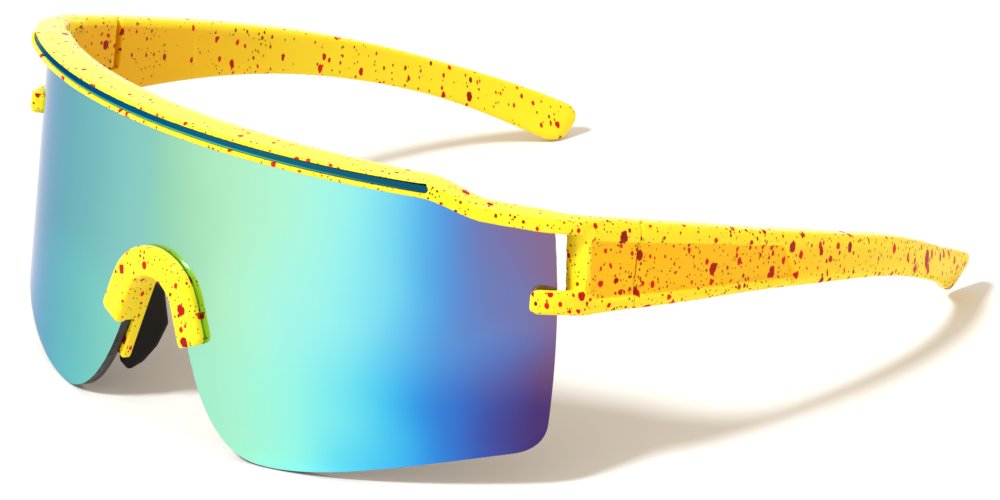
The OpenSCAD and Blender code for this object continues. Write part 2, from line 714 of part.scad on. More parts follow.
// A point of the pad: how far back and how far down from its top front corner, and how thick
function pad_spot(back, down, thick) = let (n = norm([1, pad_splay, pad_slope]))
    [pad_x + pad_slope * down + pad_splay * back, pad_y + back, pad_top - down]
        + thick / n * [1, -pad_splay, pad_slope];

// The tab runs from the bridge's rear band into the pad, grown by gap for the pad's pocket
tab_shares = [0.22, 0.62];
module pad_tab(gap) {
    start = -rear_width / 2;
    high = pad_height * tab_shares[0];
    low = pad_height * tab_shares[1];
    near = pad_wall / 2 - tab_wall / 2 - gap;
    far = pad_wall / 2 + tab_wall / 2 + gap;
    loft([for (back = [start, tab_reach + gap])
        [pad_spot(back, high - gap, near), pad_spot(back, low + gap, near),
            pad_spot(back, low + gap, far), pad_spot(back, high - gap, far)]]);
}

// Corners of the pad, as shares of its depth and of its height
pad_shares = [[0, 0], [0.42, 0.12], [1, 0.62], [0.86, 0.84], [0.55, 0.97], [0.25, 1], [0, 0.9]];

module nose_pad() {
    r = pad_wall / 2;
    color("#2a2a2c")
        difference() {
            hull()
                for (p = pad_shares)
                    translate(pad_spot(r + p[0] * (pad_depth - 2 * r), r + p[1] * (pad_height - 2 * r), r))
                        sphere(r = r, $fn = pad_faces);
            pad_tab(tab_gap);
        }
}

module nose_pad_left() {
    stand()
        nose_pad();
}

module nose_pad_right() {
    stand()
        mirror([1, 0, 0])
            nose_pad();
}

// How the glasses stand: tipped until the lens's lobes and the temple tips touch the same level
lens_low_points = [for (p = lens_side) [lens_y(p[0], -lens_wall), p[1]]];
tip_points = [for (ring = temple_rings) for (p = ring) [p[1], p[2]]];
function lowest(points, tilt) = min([for (p = points) p[1] * cos(tilt) - p[0] * sin(tilt)]);
function level(low, high, n) = let (middle = (low + high) / 2) n == 0 ? middle
    : lowest(lens_low_points, middle) < lowest(tip_points, middle) ? level(middle, high, n - 1)
    : level(low, middle, n - 1);
tilt_limit = 30;
tilt = level(0, tilt_limit, 40);
lift = -lowest(lens_low_points, tilt);
front_points = concat(
    [for (p = bridge_ring(full_section, 0, flange_leg - foot_round)) [p[1], p[2]]],
    [[-bar_front, bar_low]]);
front_y = min([for (p = front_points) p[0] * cos(tilt) + p[1] * sin(tilt)]);
rear_y = max([for (p = tip_points) p[0] * cos(tilt) + p[1] * sin(tilt)]);

shift = -(front_y + rear_y) / 2;

module stand() {
    translate([0, shift, lift])
        rotate([-tilt, 0, 0])
            children();
}

function standing(p) = [p[0], p[1] * cos(tilt) + p[2] * sin(tilt) + shift,
    p[2] * cos(tilt) - p[1] * sin(tilt) + lift];
echo(tilt = tilt, lift = lift, shift = shift);
echo(hinge = standing([hinge_x, seam_y, (knuckle_low + knuckle_top) / 2]), axis = [0, sin(tilt), cos(tilt)]);
echo(saddle = standing([0, lens_y(0, -rear_depth), nose_top - bridge_wall]));

front_frame();
shield_lens();
nose_bridge();
nose_pad_left();
nose_pad_right();
temple_left();
temple_right();
hinge_screw_left();
hinge_screw_right();
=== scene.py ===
import json
import math

import bpy
import numpy as np
from mathutils import Matrix, Vector


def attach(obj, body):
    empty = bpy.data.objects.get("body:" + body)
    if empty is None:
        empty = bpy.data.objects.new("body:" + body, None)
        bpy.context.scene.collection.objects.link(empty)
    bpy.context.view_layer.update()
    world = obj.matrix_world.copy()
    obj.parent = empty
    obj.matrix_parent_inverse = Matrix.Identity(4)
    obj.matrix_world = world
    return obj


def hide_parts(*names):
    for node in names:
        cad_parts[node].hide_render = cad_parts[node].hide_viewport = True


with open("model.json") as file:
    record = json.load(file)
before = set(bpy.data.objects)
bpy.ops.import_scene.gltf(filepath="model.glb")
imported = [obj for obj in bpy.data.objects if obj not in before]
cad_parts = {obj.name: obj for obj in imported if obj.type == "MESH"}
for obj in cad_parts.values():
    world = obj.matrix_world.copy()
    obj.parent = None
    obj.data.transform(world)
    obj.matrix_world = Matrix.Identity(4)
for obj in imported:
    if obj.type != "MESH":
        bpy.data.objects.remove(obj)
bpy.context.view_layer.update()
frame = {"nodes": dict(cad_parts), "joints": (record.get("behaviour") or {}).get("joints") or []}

# The camera has a long lens. It stands in front of the wearer's left, a little above the glasses, and looks
# at a point between the brow bar and the table. The small roll is the photograph's own.
view_turn = math.radians(49.49)
view_rise = math.radians(21.82)
view_roll = math.radians(-1.87)
view_distance = 1.476
view_centre = Vector((0.0239, -0.0125, 0.0228))
view_back = Vector((math.sin(view_turn) * math.cos(view_rise), -math.cos(view_turn) * math.cos(view_rise),
                    math.sin(view_rise)))
level_right = Vector((math.cos(view_turn), math.sin(view_turn), 0.0))
view_right = level_right * math.cos(view_roll) + view_back.cross(level_right) * math.sin(view_roll)
view_up = view_back.cross(view_right)


def link_object(name, data):
    """Puts a new object into the scene."""
    made = bpy.data.objects.new(name, data)
    bpy.context.collection.objects.link(made)
    return made


camera = link_object("camera", bpy.data.cameras.new("camera"))
camera.matrix_world = (Matrix.Translation(view_centre + view_back * view_distance)
                       @ Matrix((view_right, view_up, view_back)).transposed().to_4x4())
camera.data.sensor_width = 36.0
camera.data.lens = 300.5
camera.data.clip_end = 20.0
bpy.context.scene.camera = camera


# The table is a wide white sheet. The sun and the room's light add up to about one on it, so it shows white,
# and the glasses' soft shadows stay.
sheet_half = 3.0
sheet_white = (0.80, 0.80, 0.80, 1.0)
sheet_corners = [(x * sheet_half, y * sheet_half, 0) for x, y in ((-1, -1), (1, -1), (1, 1), (-1, 1))]


def shader_tree(material):
    """Clears the nodes of a material or a world and gives its tree."""
    material.use_nodes = True
    material.node_tree.nodes.clear()
    return material.node_tree


def new_material(name):
    """A material without nodes, and its tree."""
    material = bpy.data.materials.new(name)
    return material, shader_tree(material)


def add_node(tree, kind, inputs=(), **settings):
    """Adds a shader node. Inputs maps a socket's name or number to a value or to another node's output."""
    node = tree.nodes.new("ShaderNode" + kind)
    for name, value in settings.items():
        setattr(node, name, value)
    for name, value in dict(inputs).items():
        if isinstance(value, bpy.types.NodeSocket):
            tree.links.new(value, node.inputs[name])
        else:
            node.inputs[name].default_value = value
    return node


def surface(tree, inputs):
    """Ends a material's tree with a Principled shader."""
    shader = add_node(tree, "BsdfPrincipled", inputs)
    add_node(tree, "OutputMaterial", {"Surface": shader.outputs["BSDF"]})


table_mesh = bpy.data.meshes.new("table")
table_mesh.from_pydata(sheet_corners, [], [(0, 1, 2, 3)])
table = link_object("table", table_mesh)
white_sheet, tree = new_material("white_sheet")
surface(tree, {"Base Color": sheet_white, "Roughness": 0.9, "Specular IOR Level": 0.0})
table.data.materials.append(white_sheet)


# The room is a warm dim light from all round, as pale walls give. The camera and the gloss see it as plain
# white.
room_light = (0.90, 0.80, 0.69, 1.0)


def maths(tree, how, *values, **settings):
    """Output of a maths node; how is its operation."""
    return add_node(tree, "Math", dict(enumerate(values)), operation=how, **settings).outputs[0]


world = bpy.data.worlds.new("room")
bpy.context.scene.world = world
tree = shader_tree(world)
rays = add_node(tree, "LightPath").outputs
seen = maths(tree, "MAXIMUM", rays["Is Camera Ray"], rays["Is Glossy Ray"])
seen = maths(tree, "MAXIMUM", seen, rays["Is Transmission Ray"])
dim = add_node(tree, "Background", {"Color": room_light, "Strength": 1.0})
white = add_node(tree, "Background", {"Color": (1.0, 1.0, 1.0, 1.0), "Strength": 1.0})
room = add_node(tree, "MixShader", {0: seen, 1: dim.outputs[0], 2: white.outputs[0]})
add_node(tree, "OutputWorld", {"Surface": room.outputs[0]})

# The lamp stands high in front of the glasses. It is wide, as a soft box is, so its shadows are soft.
sun_way = Vector((-0.05, -0.8, 1.0)).normalized()
sun_level = 0.72
sun = link_object("sun", bpy.data.lights.new("sun", "SUN"))
sun.data.angle = math.radians(10)
sun.data.energy = sun_level * math.pi / sun_way.z
sun.data.color = (0.90, 0.97, 1.0)
sun.rotation_euler = sun_way.to_track_quat("Z", "Y").to_euler()
bpy.context.scene.view_settings.view_transform = "Standard"


# The lens is one moulded sheet of tinted plastic, 2 mm thick and bent to an upright cylinder. Its outer face
# has a vapour-coated mirror, and its inner face and edge show the dark smoke tint. Its top edge sits in a
# channel of the brow bar.
#
# All sizes from here on are in millimetres in the lens's own frame: x to the wearer's left, y back from the
# middle of the lens, z up along it from its lowest point. place() tips this frame on to the table.
lens_radius = 97.0
lens_wall = 2.0
lens_half_width = 70.4
lens_height = 57.2
lobe_x = 26.7
corner_z = 10.5
corner_round = 5.2
edge_lean = 1.8
nose_top = 27.8
nose_radius = 6.8
nose_z = nose_top - nose_radius
nose_flare = math.radians(22)
flare_sin, flare_cos = math.sin(nose_flare), math.cos(nose_flare)
flare_end = 0.583
crown = 0.6
step_start = 53.5
step_run = 12.0
step_drop = 3.0
arm_slope = 0.05
MM = 0.001


def mix(a, b, share):
    return a + (b - a) * share


def smooth(u):
    """Smooth rise from 0 to 1: three u squared less two u cubed, with u held between 0 and 1."""
    v = np.clip(u, 0.0, 1.0)
    return v * v * (3.0 - 2.0 * v)


def change(place, start, run):
    """Smooth rise from 0 to 1 that starts at a place and runs over a length."""
    return smooth((place - start) / run)


def crown_at(s):
    """Drop of the middle part's top at arc length s, which grows with the square of s as far as the step."""
    return crown * (np.minimum(s, step_start) / step_start) ** 2


def fall(s):
    """Drop of the bar's and the lens's top at arc length s: a crown, then a smooth step, then a slope."""
    s = np.abs(s)
    return (crown_at(s)
            + step_drop * change(s, step_start, step_run)
            + arm_slope * np.maximum(0.0, s - step_start - step_run))


def cubic(a, b, c, d, n):
    """Points of the cubic curve from a to d that b and c pull: each of the four has one term of the cube of
    1 - t plus t as its weight."""
    t = np.linspace(0.0, 1.0, n + 1)[:, None]
    a, b, c, d = (np.array(p, float) for p in (a, b, c, d))
    return (1 - t) ** 3 * a + 3 * (1 - t) ** 2 * t * b + 3 * (1 - t) * t ** 2 * c + t ** 3 * d


def even(points, n):
    """Resamples a row of points to n + 1 at equal distances along it."""
    far = np.r_[0.0, np.cumsum(np.linalg.norm(np.diff(points, axis=0), axis=1))]
    return np.stack([np.interp(np.linspace(0.0, far[-1], n + 1), far, points[:, k])
                     for k in range(points.shape[1])], 1)


def mesh_object(name, points, faces):
    """A mesh object of points in millimetres and faces of point numbers."""
    mesh = bpy.data.meshes.new(name)
    mesh.from_pydata(np.asarray(points, float).tolist(), [], faces)
    mesh.update()
    return link_object(name, mesh)


def grid_faces(rows, columns, wrap=False):
    """Four-cornered faces of a grid whose points run row by row; wrap joins the last column to the first."""
    i, j = np.meshgrid(np.arange(rows - 1), np.arange(columns if wrap else columns - 1), indexing="ij")
    k = (j + 1) % columns
    return np.stack([i * columns + j, i * columns + k, (i + 1) * columns + k, (i + 1) * columns + j],
                    -1).reshape(-1, 4).tolist()


def points_of(piece):
    """All points of an object's mesh as one array."""
    flat = np.empty(len(piece.data.vertices) * 3, np.float32)
    piece.data.vertices.foreach_get("co", flat)
    return flat.reshape(-1, 3).astype(float)


def set_points(piece, points):
    piece.data.vertices.foreach_set("co", np.ascontiguousarray(points, np.float32).ravel())
    piece.data.update()


# The left hinge is where both frames meet: its place and axis in the record give the tilt and the shift
endpiece_length = 12.4
post_gap = 1.35
post_y = lens_radius - math.sqrt(lens_radius ** 2 - lens_half_width ** 2) + post_gap
seam_y = post_y + endpiece_length
roof = 0.9
seam_drop = 6.2
seam_height = 14.8
low_knuckle = 2.2
knuckle_height = 3.0
seam_top = lens_height + roof - seam_drop
seam_low = seam_top - seam_height
knuckle_low = seam_low + low_knuckle
knuckle_top = knuckle_low + knuckle_height
left_fold = next(j for j in frame["joints"] if j["name"] == "left_temple_fold")
hinge_spot = np.array(left_fold["pos_m"]) / MM
tilt_sin, tilt_cos = left_fold["axis"][1], left_fold["axis"][2]
hinge_z = (knuckle_low + knuckle_top) / 2
shift_y = hinge_spot[1] - (seam_y * tilt_cos + hinge_z * tilt_sin)
lift_z = hinge_spot[2] - (hinge_z * tilt_cos - seam_y * tilt_sin)


def place(piece):
    """Tips a piece about x from the lens's frame on to the table, and turns millimetres into metres."""
    x, y, z = points_of(piece).T
    tipped = np.stack([x, y * tilt_cos + z * tilt_sin + shift_y, z * tilt_cos - y * tilt_sin + lift_z], 1)
    set_points(piece, tipped * MM)


def smooth_faces(piece):
    piece.data.polygons.foreach_set("use_smooth", np.ones(len(piece.data.polygons), bool))
    piece.data.update()


def dress(piece, material):
    """Gives a piece its one material."""
    piece.data.materials.clear()
    piece.data.materials.append(material)


def modify(piece, kind, **settings):
    """Adds a modifier to a piece."""
    step = piece.modifiers.new(kind, kind)
    for name, value in settings.items():
        setattr(step, name, value)


def apply_modifiers(piece):
    """Turns a piece's modifiers into its mesh."""
    bpy.context.view_layer.update()
    evaluated = piece.evaluated_get(bpy.context.evaluated_depsgraph_get())
    mesh = bpy.data.meshes.new_from_object(evaluated)
    piece.modifiers.clear()
    piece.data = mesh


def lens_outline():
    """Lower edge of the lens on the wearer's left: nose arch, flared side, lobe, corner and outer edge.
    The shares written in it say where each curve's two pulling points lie."""
    turn = np.linspace(math.pi / 2, nose_flare, 25)
    arch = np.stack([nose_radius * np.cos(turn), nose_z + nose_radius * np.sin(turn)], 1)
    way = np.array([flare_sin, -flare_cos])
    foot = arch[-1] + (arch[-1][1] - nose_top * flare_end) / flare_cos * way
    corner_x = lens_half_width - corner_round * 0.79
    edge_x = lens_half_width - edge_lean
    end_s = lens_radius * math.asin(edge_x / lens_radius)
    turned = np.array([corner_x, corner_z])
    outer = np.array([lens_half_width, corner_z])
    upper = outer + corner_round * np.array([0.0, 1.15])
    curves = [cubic(foot, foot + foot[1] * 0.48 * way, (lobe_x * 0.655, 0), (lobe_x, 0), 24),
              cubic((lobe_x, 0), (mix(lobe_x, corner_x, 0.29), 0),
                    (mix(lobe_x, corner_x, 0.64), corner_z * 0.53), turned, 24),
              cubic(turned, turned + corner_round * np.array([0.52, 0.17]),
                    outer + corner_round * np.array([-0.02, 0.58]), upper, 16),
              cubic(upper, (lens_half_width + edge_lean * 0.16, lens_height * 0.5),
                    (lens_half_width - edge_lean * 0.1, lens_height * 0.72),
                    (edge_x, lens_height - fall(end_s)), 24)]
    return np.concatenate([arch] + [c[1:] for c in curves]), edge_x


def lens_points(outline, edge_x, columns, rows):
    """Ruled surface between the lower edge and the top edge. Its y is the cylinder's depth at x: the radius
    less the root of the radius squared less x squared."""
    low = even(outline, columns)
    low = np.concatenate([low[:0:-1] * [-1, 1], low])
    top_x = np.linspace(-edge_x, edge_x, len(low))
    top_z = lens_height - fall(lens_radius * np.arcsin(top_x / lens_radius))
    top = np.stack([top_x, top_z], 1)
    x, z = np.moveaxis(mix(low[None], top[None], np.linspace(0.0, 1.0, rows + 1)[:, None, None]), -1, 0)
    return np.stack([x, lens_radius - np.sqrt(lens_radius ** 2 - x ** 2), z], -1)


lens_grid = lens_points(*lens_outline(), columns=150, rows=44)
shield = mesh_object("mirror_lens", lens_grid.reshape(-1, 3), grid_faces(*lens_grid.shape[:2]))
smooth_faces(shield)
mirror_coat = bpy.data.materials.new("mirror_coat")
smoke_tint = bpy.data.materials.new("smoke_tint")
shield.data.materials.append(mirror_coat)
shield.data.materials.append(smoke_tint)
modify(shield, "SOLIDIFY", thickness=lens_wall, offset=-1.0, material_offset=1, material_offset_rim=1)
modify(shield, "BEVEL", width=0.22, segments=3, limit_method="ANGLE", angle_limit=math.radians(55), material=1)
apply_modifiers(shield)
place(shield)
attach(shield, "front")
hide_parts("shield_lens")


def vectors(tree, how, first, second):
    """Output of a vector maths node; SCALE takes a vector and a number."""
    inputs = {0: first, "Scale" if how == "SCALE" else 1: second}
    return add_node(tree, "VectorMath", inputs, operation=how).outputs[0]


def noise(tree, where, scale, detail, **inputs):
    """Output of a noise node, from 0 to 1."""
    inputs = {"Vector": where, "Scale": scale, "Detail": detail, **inputs}
    return add_node(tree, "TexNoise", inputs).outputs[0]


def spread(tree, value, low, high, to_low=0.0, to_high=1.0, **settings):
    """Carries a value from one range over to another, and holds it at both ends."""
    return add_node(tree, "MapRange", {0: value, 1: low, 2: high, 3: to_low, 4: to_high}, **settings).outputs[0]


def blend(tree, share, *colours):
    """Mixes two colours, each an output or a red, a green and a blue value."""
    first, second = (c if isinstance(c, bpy.types.NodeSocket) else (*c, 1.0) for c in colours)
    return add_node(tree, "Mix", {"Factor": share, 6: first, 7: second}, data_type="RGBA").outputs[2]


def spot_of(tree):
    """Place on the piece in millimetres, as a vector output."""
    return vectors(tree, "SCALE", add_node(tree, "TexCoord").outputs["Object"], 1 / MM)


def ramp(tree, value, stops):
    """Colour ramp through stops of a place from 0 to 1 and a colour."""
    node = add_node(tree, "ValToRGB", {0: value})
    band = node.color_ramp
    band.interpolation = "B_SPLINE"
    while len(band.elements) < len(stops):
        band.elements.new(0.5)
    for element, (share, colour) in zip(band.elements, stops):
        element.position = share
        element.color = (*colour, 1.0)
    return node.outputs[0]


def linear(colour):
    """A screen colour from 0 to 1 as the linear colour that the shaders take."""
    return tuple(v / 12.92 if v <= 0.04045 else ((v + 0.055) / 1.055) ** 2.4 for v in colour)


# The mirror runs from teal on the wearer's right over mint and cyan to violet on their left, and is deeper
# towards the lower edge. Places are x in millimetres, and colours are as they look on a screen.
upper_band = [(-70, (0.20, 0.60, 0.56)), (-22, (0.47, 0.73, 0.73)), (-3, (0.50, 0.75, 0.73)),
              (4, (0.54, 0.78, 0.66)), (20, (0.67, 0.89, 0.74)), (35, (0.58, 0.91, 0.89)),
              (46, (0.42, 0.80, 0.91)), (56, (0.25, 0.56, 0.87)), (65, (0.42, 0.41, 0.63)),
              (70, (0.54, 0.37, 0.45))]
lower_band = [(-70, (0.21, 0.63, 0.69)), (-10, (0.50, 0.80, 0.74)), (18, (0.64, 0.88, 0.75)),
              (34, (0.56, 0.92, 0.87)), (46, (0.26, 0.78, 0.92)), (57, (0.14, 0.42, 0.86)),
              (70, (0.30, 0.10, 0.24))]
band_half = 70.0
band_middle_z = 22.0
band_blend = 7.0
band_waver = 5.0

tree = shader_tree(mirror_coat)
spot = spot_of(tree)
waver = spread(tree, noise(tree, spot, 0.03, 2.0, Roughness=0.4), 0.25, 0.75, -band_waver, band_waver)
axes = add_node(tree, "SeparateXYZ", {0: spot}).outputs
across = spread(tree, maths(tree, "ADD", axes["X"], waver), -band_half, band_half)
height = spread(tree, maths(tree, "ADD", axes["Z"], waver), band_middle_z - band_blend,
                band_middle_z + band_blend, interpolation_type="SMOOTHSTEP")
bands = [ramp(tree, across, [((x + band_half) / (2 * band_half), linear(c)) for x, c in band])
         for band in (lower_band, upper_band)]
surface(tree, {"Base Color": blend(tree, height, *bands), "Metallic": 1.0, "Roughness": 0.09,
               "Specular Tint": (0.55, 0.60, 0.86, 1.0)})

tree = shader_tree(smoke_tint)
haze = noise(tree, spot_of(tree), 0.05, 3.0)
tint = ramp(tree, haze, [(0.3, (0.012, 0.012, 0.014)), (0.7, (0.020, 0.018, 0.020))])
surface(tree, {"Base Color": tint, "Roughness": 0.25, "Specular IOR Level": 0.3})


# The frame is moulded in bright yellow nylon. Before it is packed, paint is flicked over it, which leaves
# red blobs, smaller red drops and fine dark specks, each a little proud of the plastic.
socket_kinds = {"Vector": "Vector", "Plastic": "Color", "Color": "Color"}


def new_group(name, inputs, outputs):
    """A shader node group with named sockets: its tree, what it is given and what it puts out."""
    group = bpy.data.node_groups.new(name, "ShaderNodeTree")
    for way, sockets in (("INPUT", inputs), ("OUTPUT", outputs)):
        for socket in sockets:
            kind = "NodeSocket" + socket_kinds.get(socket, "Float")
            group.interface.new_socket(socket, in_out=way, socket_type=kind)
    return group, group.nodes.new("NodeGroupInput").outputs, group.nodes.new("NodeGroupOutput").inputs


def drops_group():
    """Round drops of one size. A share of the cells of a Voronoi pattern hold a drop, whose radius is from
    about half to all of the given one; the mask falls from 1 to 0 across the drop's edge."""
    tree, given, result = new_group(
        "paint_drops", ("Vector", "Spacing", "Radius", "Share", "Waver", "Edge"), ("Mask", "Random"))
    wander = add_node(tree, "TexNoise", {"Vector": given["Vector"], "Scale": 1.1, "Detail": 2.0})
    centred = vectors(tree, "SUBTRACT", wander.outputs["Color"], (0.5, 0.5, 0.5))
    wavy = vectors(tree, "ADD", given["Vector"], vectors(tree, "SCALE", centred, given["Waver"]))
    scale = maths(tree, "DIVIDE", 1.0, given["Spacing"])
    cells = add_node(tree, "TexVoronoi", {"Vector": wavy, "Scale": scale, "Randomness": 1.0})
    distance = maths(tree, "MULTIPLY", cells.outputs["Distance"], given["Spacing"])
    chance, shade, size = add_node(tree, "SeparateColor", {0: cells.outputs["Color"]}).outputs
    filled = maths(tree, "GREATER_THAN", chance, maths(tree, "SUBTRACT", 1.0, given["Share"]))
    radius = maths(tree, "MULTIPLY", spread(tree, size, 0.0, 1.0, least_drop, 1.0), given["Radius"])
    drop = spread(tree, maths(tree, "SUBTRACT", radius, distance), 0.0, given["Edge"],
                  interpolation_type="SMOOTHSTEP")
    tree.links.new(maths(tree, "MULTIPLY", drop, filled), result["Mask"])
    tree.links.new(shade, result["Random"])
    return tree


def splatter_group(drops):
    """Layers of drops, from fine specks to blobs, thicker where a slow noise is high. Puts out the colour of
    plastic and paint, the roughness, and how proud the paint stands."""
    tree, given, result = new_group(
        "flicked_paint", ("Vector", "Plastic", "Amount"), ("Color", "Roughness", "Height"))
    crowd = spread(tree, noise(tree, given["Vector"], 0.07, 1.0), 0.3, 0.68, 0.5, 1.3)
    amount = maths(tree, "MULTIPLY", crowd, given["Amount"])
    colour, proud = given["Plastic"], 0.0
    for spacing, radius, share, waver, edge, first, second, offset in paint_layers:
        moved = vectors(tree, "ADD", given["Vector"], (offset, 2 * offset, -offset))
        layer = add_node(tree, "Group", {
            "Vector": moved, "Spacing": spacing, "Radius": radius, "Waver": waver, "Edge": edge,
            "Share": maths(tree, "MULTIPLY", amount, share, use_clamp=True)}, node_tree=drops).outputs
        paint = blend(tree, layer["Random"], linear(first), linear(second))
        colour = blend(tree, layer["Mask"], colour, paint)
        proud = maths(tree, "MAXIMUM", proud, layer["Mask"])
    tree.links.new(colour, result["Color"])
    tree.links.new(spread(tree, proud, 0.0, 1.0, bare_roughness, paint_roughness), result["Roughness"])
    tree.links.new(proud, result["Height"])
    return tree


# Spacing, radius, share of cells with a drop, waver, edge, two colours, offset of the pattern
paint_layers = [(0.78, 0.23, 0.80, 0.10, 0.05, (0.62, 0.44, 0.05), (0.26, 0.20, 0.04), 3.0),
                (1.30, 0.38, 0.80, 0.25, 0.06, (0.82, 0.14, 0.02), (0.42, 0.13, 0.03), 17.0),
                (2.20, 0.68, 0.72, 0.50, 0.07, (0.88, 0.09, 0.01), (0.72, 0.05, 0.02), 31.0),
                (4.20, 1.12, 0.46, 0.90, 0.08, (0.72, 0.05, 0.02), (0.58, 0.02, 0.03), 47.0)]
least_drop = 0.55
bare_roughness = 0.30
paint_roughness = 0.22
nylon_yellow = (1.0, 0.74, 0.020)
# The deeper orange is painted shade, laid where a piece's shade attribute is high.
nylon_painted_shade = (1.0, 0.52, 0.004)
upward_share = 0.35
# The clear coat on faces that look up is a painted sheen that makes top faces pale.
upward_sheen = 0.7
flicked_paint = splatter_group(drops_group())


def splattered_nylon(name, amount, offset):
    """Yellow nylon with flicked paint; offset moves the pattern, so that no two pieces share one. Drops are
    drawn out upright, and more so towards the back, by squeezing the height that the pattern reads. Where the
    mesh's shade attribute is high, the nylon turns deeper orange: painted shade. Faces that look up caught
    less paint, and a clear coat that grows as they look up gives them a painted sheen."""
    material, tree = new_material(name)
    axes = add_node(tree, "SeparateXYZ", {0: spot_of(tree)}).outputs
    height = maths(tree, "MULTIPLY", axes["Z"], spread(tree, axes["Y"], -20.0, 60.0, 0.85, 0.55))
    spot = add_node(tree, "CombineXYZ", {0: axes["X"], 1: axes["Y"], 2: height})
    stretched = add_node(tree, "Mapping", {0: spot.outputs[0], "Location": offset, "Rotation": (0.25, 0.0, 0.0),
                                           "Scale": (1.0, 1.15, 1.0)})
    # The shade attribute deepens the nylon to orange in the panels and on inner faces: painted shade.
    painted_shade = add_node(tree, "Attribute", attribute_name="painted_shade")
    normal = add_node(tree, "TexCoord").outputs["Normal"]
    facing = add_node(tree, "SeparateXYZ", {0: normal}).outputs["Z"]
    plastic = blend(tree, painted_shade.outputs["Fac"], nylon_yellow, nylon_painted_shade)
    caught = spread(tree, facing, 0.5, 0.95, amount, amount * upward_share)
    paint = add_node(tree, "Group", {"Vector": stretched.outputs[0], "Plastic": plastic, "Amount": caught},
                     node_tree=flicked_paint).outputs
    # Painted sheen: a clear coat that grows as a face looks up, so that top faces shine paler.
    top_sheen = spread(tree, facing, 0.6, 0.98, 0.0, upward_sheen)
    top_sheen = spread(tree, paint["Height"], 0.0, 1.0, top_sheen, 0.0)
    bump = add_node(tree, "Bump", {"Height": paint["Height"], "Strength": 0.35, "Distance": 0.05 * MM})
    surface(tree, {"Base Color": paint["Color"], "Roughness": paint["Roughness"], "Normal": bump.outputs[0],
                   "Specular IOR Level": 0.12, "Coat Weight": top_sheen, "Coat Roughness": 0.2,
                   "Subsurface Weight": 0.3, "Subsurface Radius": (1.0, 0.35, 0.04),
                   "Subsurface Scale": 2.0 * MM})
    return material


# The front frame is one moulding: a brow bar with a slot window, side arms that step down and bend back,
# upright posts that carry the hinges, and lower prongs that grip the lens's edge.
seat_depth = 2.9
bar_front = 3.8
bar_back = 3.2
arm_front = 2.5
slot_height = 1.5
slot_lip = 0.85
slot_half = 55.2
bar_edge = 0.7
lip_edge = 0.3
front_slope = 0.6
strip_width = 2.4
strip_lean = 0.25
bend_lead = 5.2
bend_radius = 12.0
arm_way = math.radians(84.5)
post_round = 2.2
post_set = 0.3
post_lean = 0.1
post_blend = 8.0
prong_grip = 5.1
prong_height = 4.4
prong_front = 2.7
prong_drawn = 0.13
prong_sink = 0.2
prong_sag = 0.08
prong_sags = (0.4, 0.5)
prong_rear = 0.4
prong_edge = 0.75
sink_share = 0.2
rear_lead = 0.4
rear_power = 8
lens_gap = 0.12
over = 1.0
mould_grain = 0.28
bar_steps = 260
room_steps = 240
slot_steps = 180
bar_low = lens_height - seat_depth
bar_top = lens_height + roof
slot_middle = bar_low + slot_lip + slot_height / 2
edge_s = lens_radius * math.asin(lens_half_width / lens_radius)
bend_start = edge_s - bend_lead
bend_from = bend_start / lens_radius
bend_length = bend_radius * (arm_way - bend_from)
rail_end = bend_start + bend_length + post_round


def corner(x, z, r, start, tall=1.0):
    """Quarter circle of a section about x and z, from a start angle in degrees: cosine out, sine up. Tall
    makes it an oval that is so many times as high as it is deep."""
    a = np.radians(start + np.linspace(0.0, 90.0, 7))
    x, z, r = (np.asarray(v, float)[..., None] for v in np.broadcast_arrays(x, z, r))
    return np.stack([x + r * np.cos(a), z + tall * r * np.sin(a)], -1)


def point(x, z):
    """One point of each section, with the same shape as a corner."""
    return np.stack(np.broadcast_arrays(x, z), -1)[..., None, :]


def section(*parts):
    """Joins corners and points into sections, one for each place along the path."""
    places = max(len(part) if part.ndim == 3 else 1 for part in parts)
    return np.concatenate([np.broadcast_to(part, (places, *part.shape[-2:])) for part in parts], 1)


def slab(near, far, low, high):
    """Sections with four corners, at two distances out, near and far, and two heights, low and high."""
    return section(point(near, low), point(near, high), point(far, high), point(far, low))


def skin(name, rings):
    """Closed surface over a row of rings of points, whose ends close round their centres, faces outwards."""
    rings = np.asarray(rings, float)
    rows, columns = rings.shape[:2]
    points = np.concatenate([rings.reshape(-1, 3), rings[[0, -1]].mean(1)])
    faces = grid_faces(rows, columns, wrap=True)
    last = (rows - 1) * columns
    faces += [(j, rows * columns, (j + 1) % columns) for j in range(columns)]
    faces += [(last + (j + 1) % columns, rows * columns + 1, last + j) for j in range(columns)]
    beside = np.roll(rings, -1, 1)
    a, b, c, d = rings[:-1], beside[:-1], beside[1:], rings[1:]
    middle = points.mean(0)
    volume = sum(np.einsum("ijk,ijk->", p - middle, np.cross(q - middle, r - middle))
                 for p, q, r in ((a, b, c), (a, c, d)))
    if volume < 0:
        faces = [face[::-1] for face in faces]
    return mesh_object(name, points, faces)


def combine(piece, tool, how="DIFFERENCE"):
    """Boolean of a piece with a tool, which is then removed. How can also be UNION or INTERSECT."""
    modify(piece, "BOOLEAN", object=tool, operation=how, solver="MANIFOLD")
    apply_modifiers(piece)
    bpy.data.objects.remove(tool)
    return piece


def mould(piece, grain, rounds):
    """Skins a piece with even small faces and softens its edges, as a polished mould leaves them."""
    modify(piece, "REMESH", mode="VOXEL", voxel_size=grain)
    modify(piece, "SMOOTH", factor=0.5, iterations=rounds)
    apply_modifiers(piece)
    smooth_faces(piece)
    return piece


def mirrored(piece):
    """Moves a piece to the wearer's right: x is negated and the faces are turned back outwards."""
    set_points(piece, points_of(piece) * [-1, 1, 1])
    piece.data.flip_normals()
    return piece


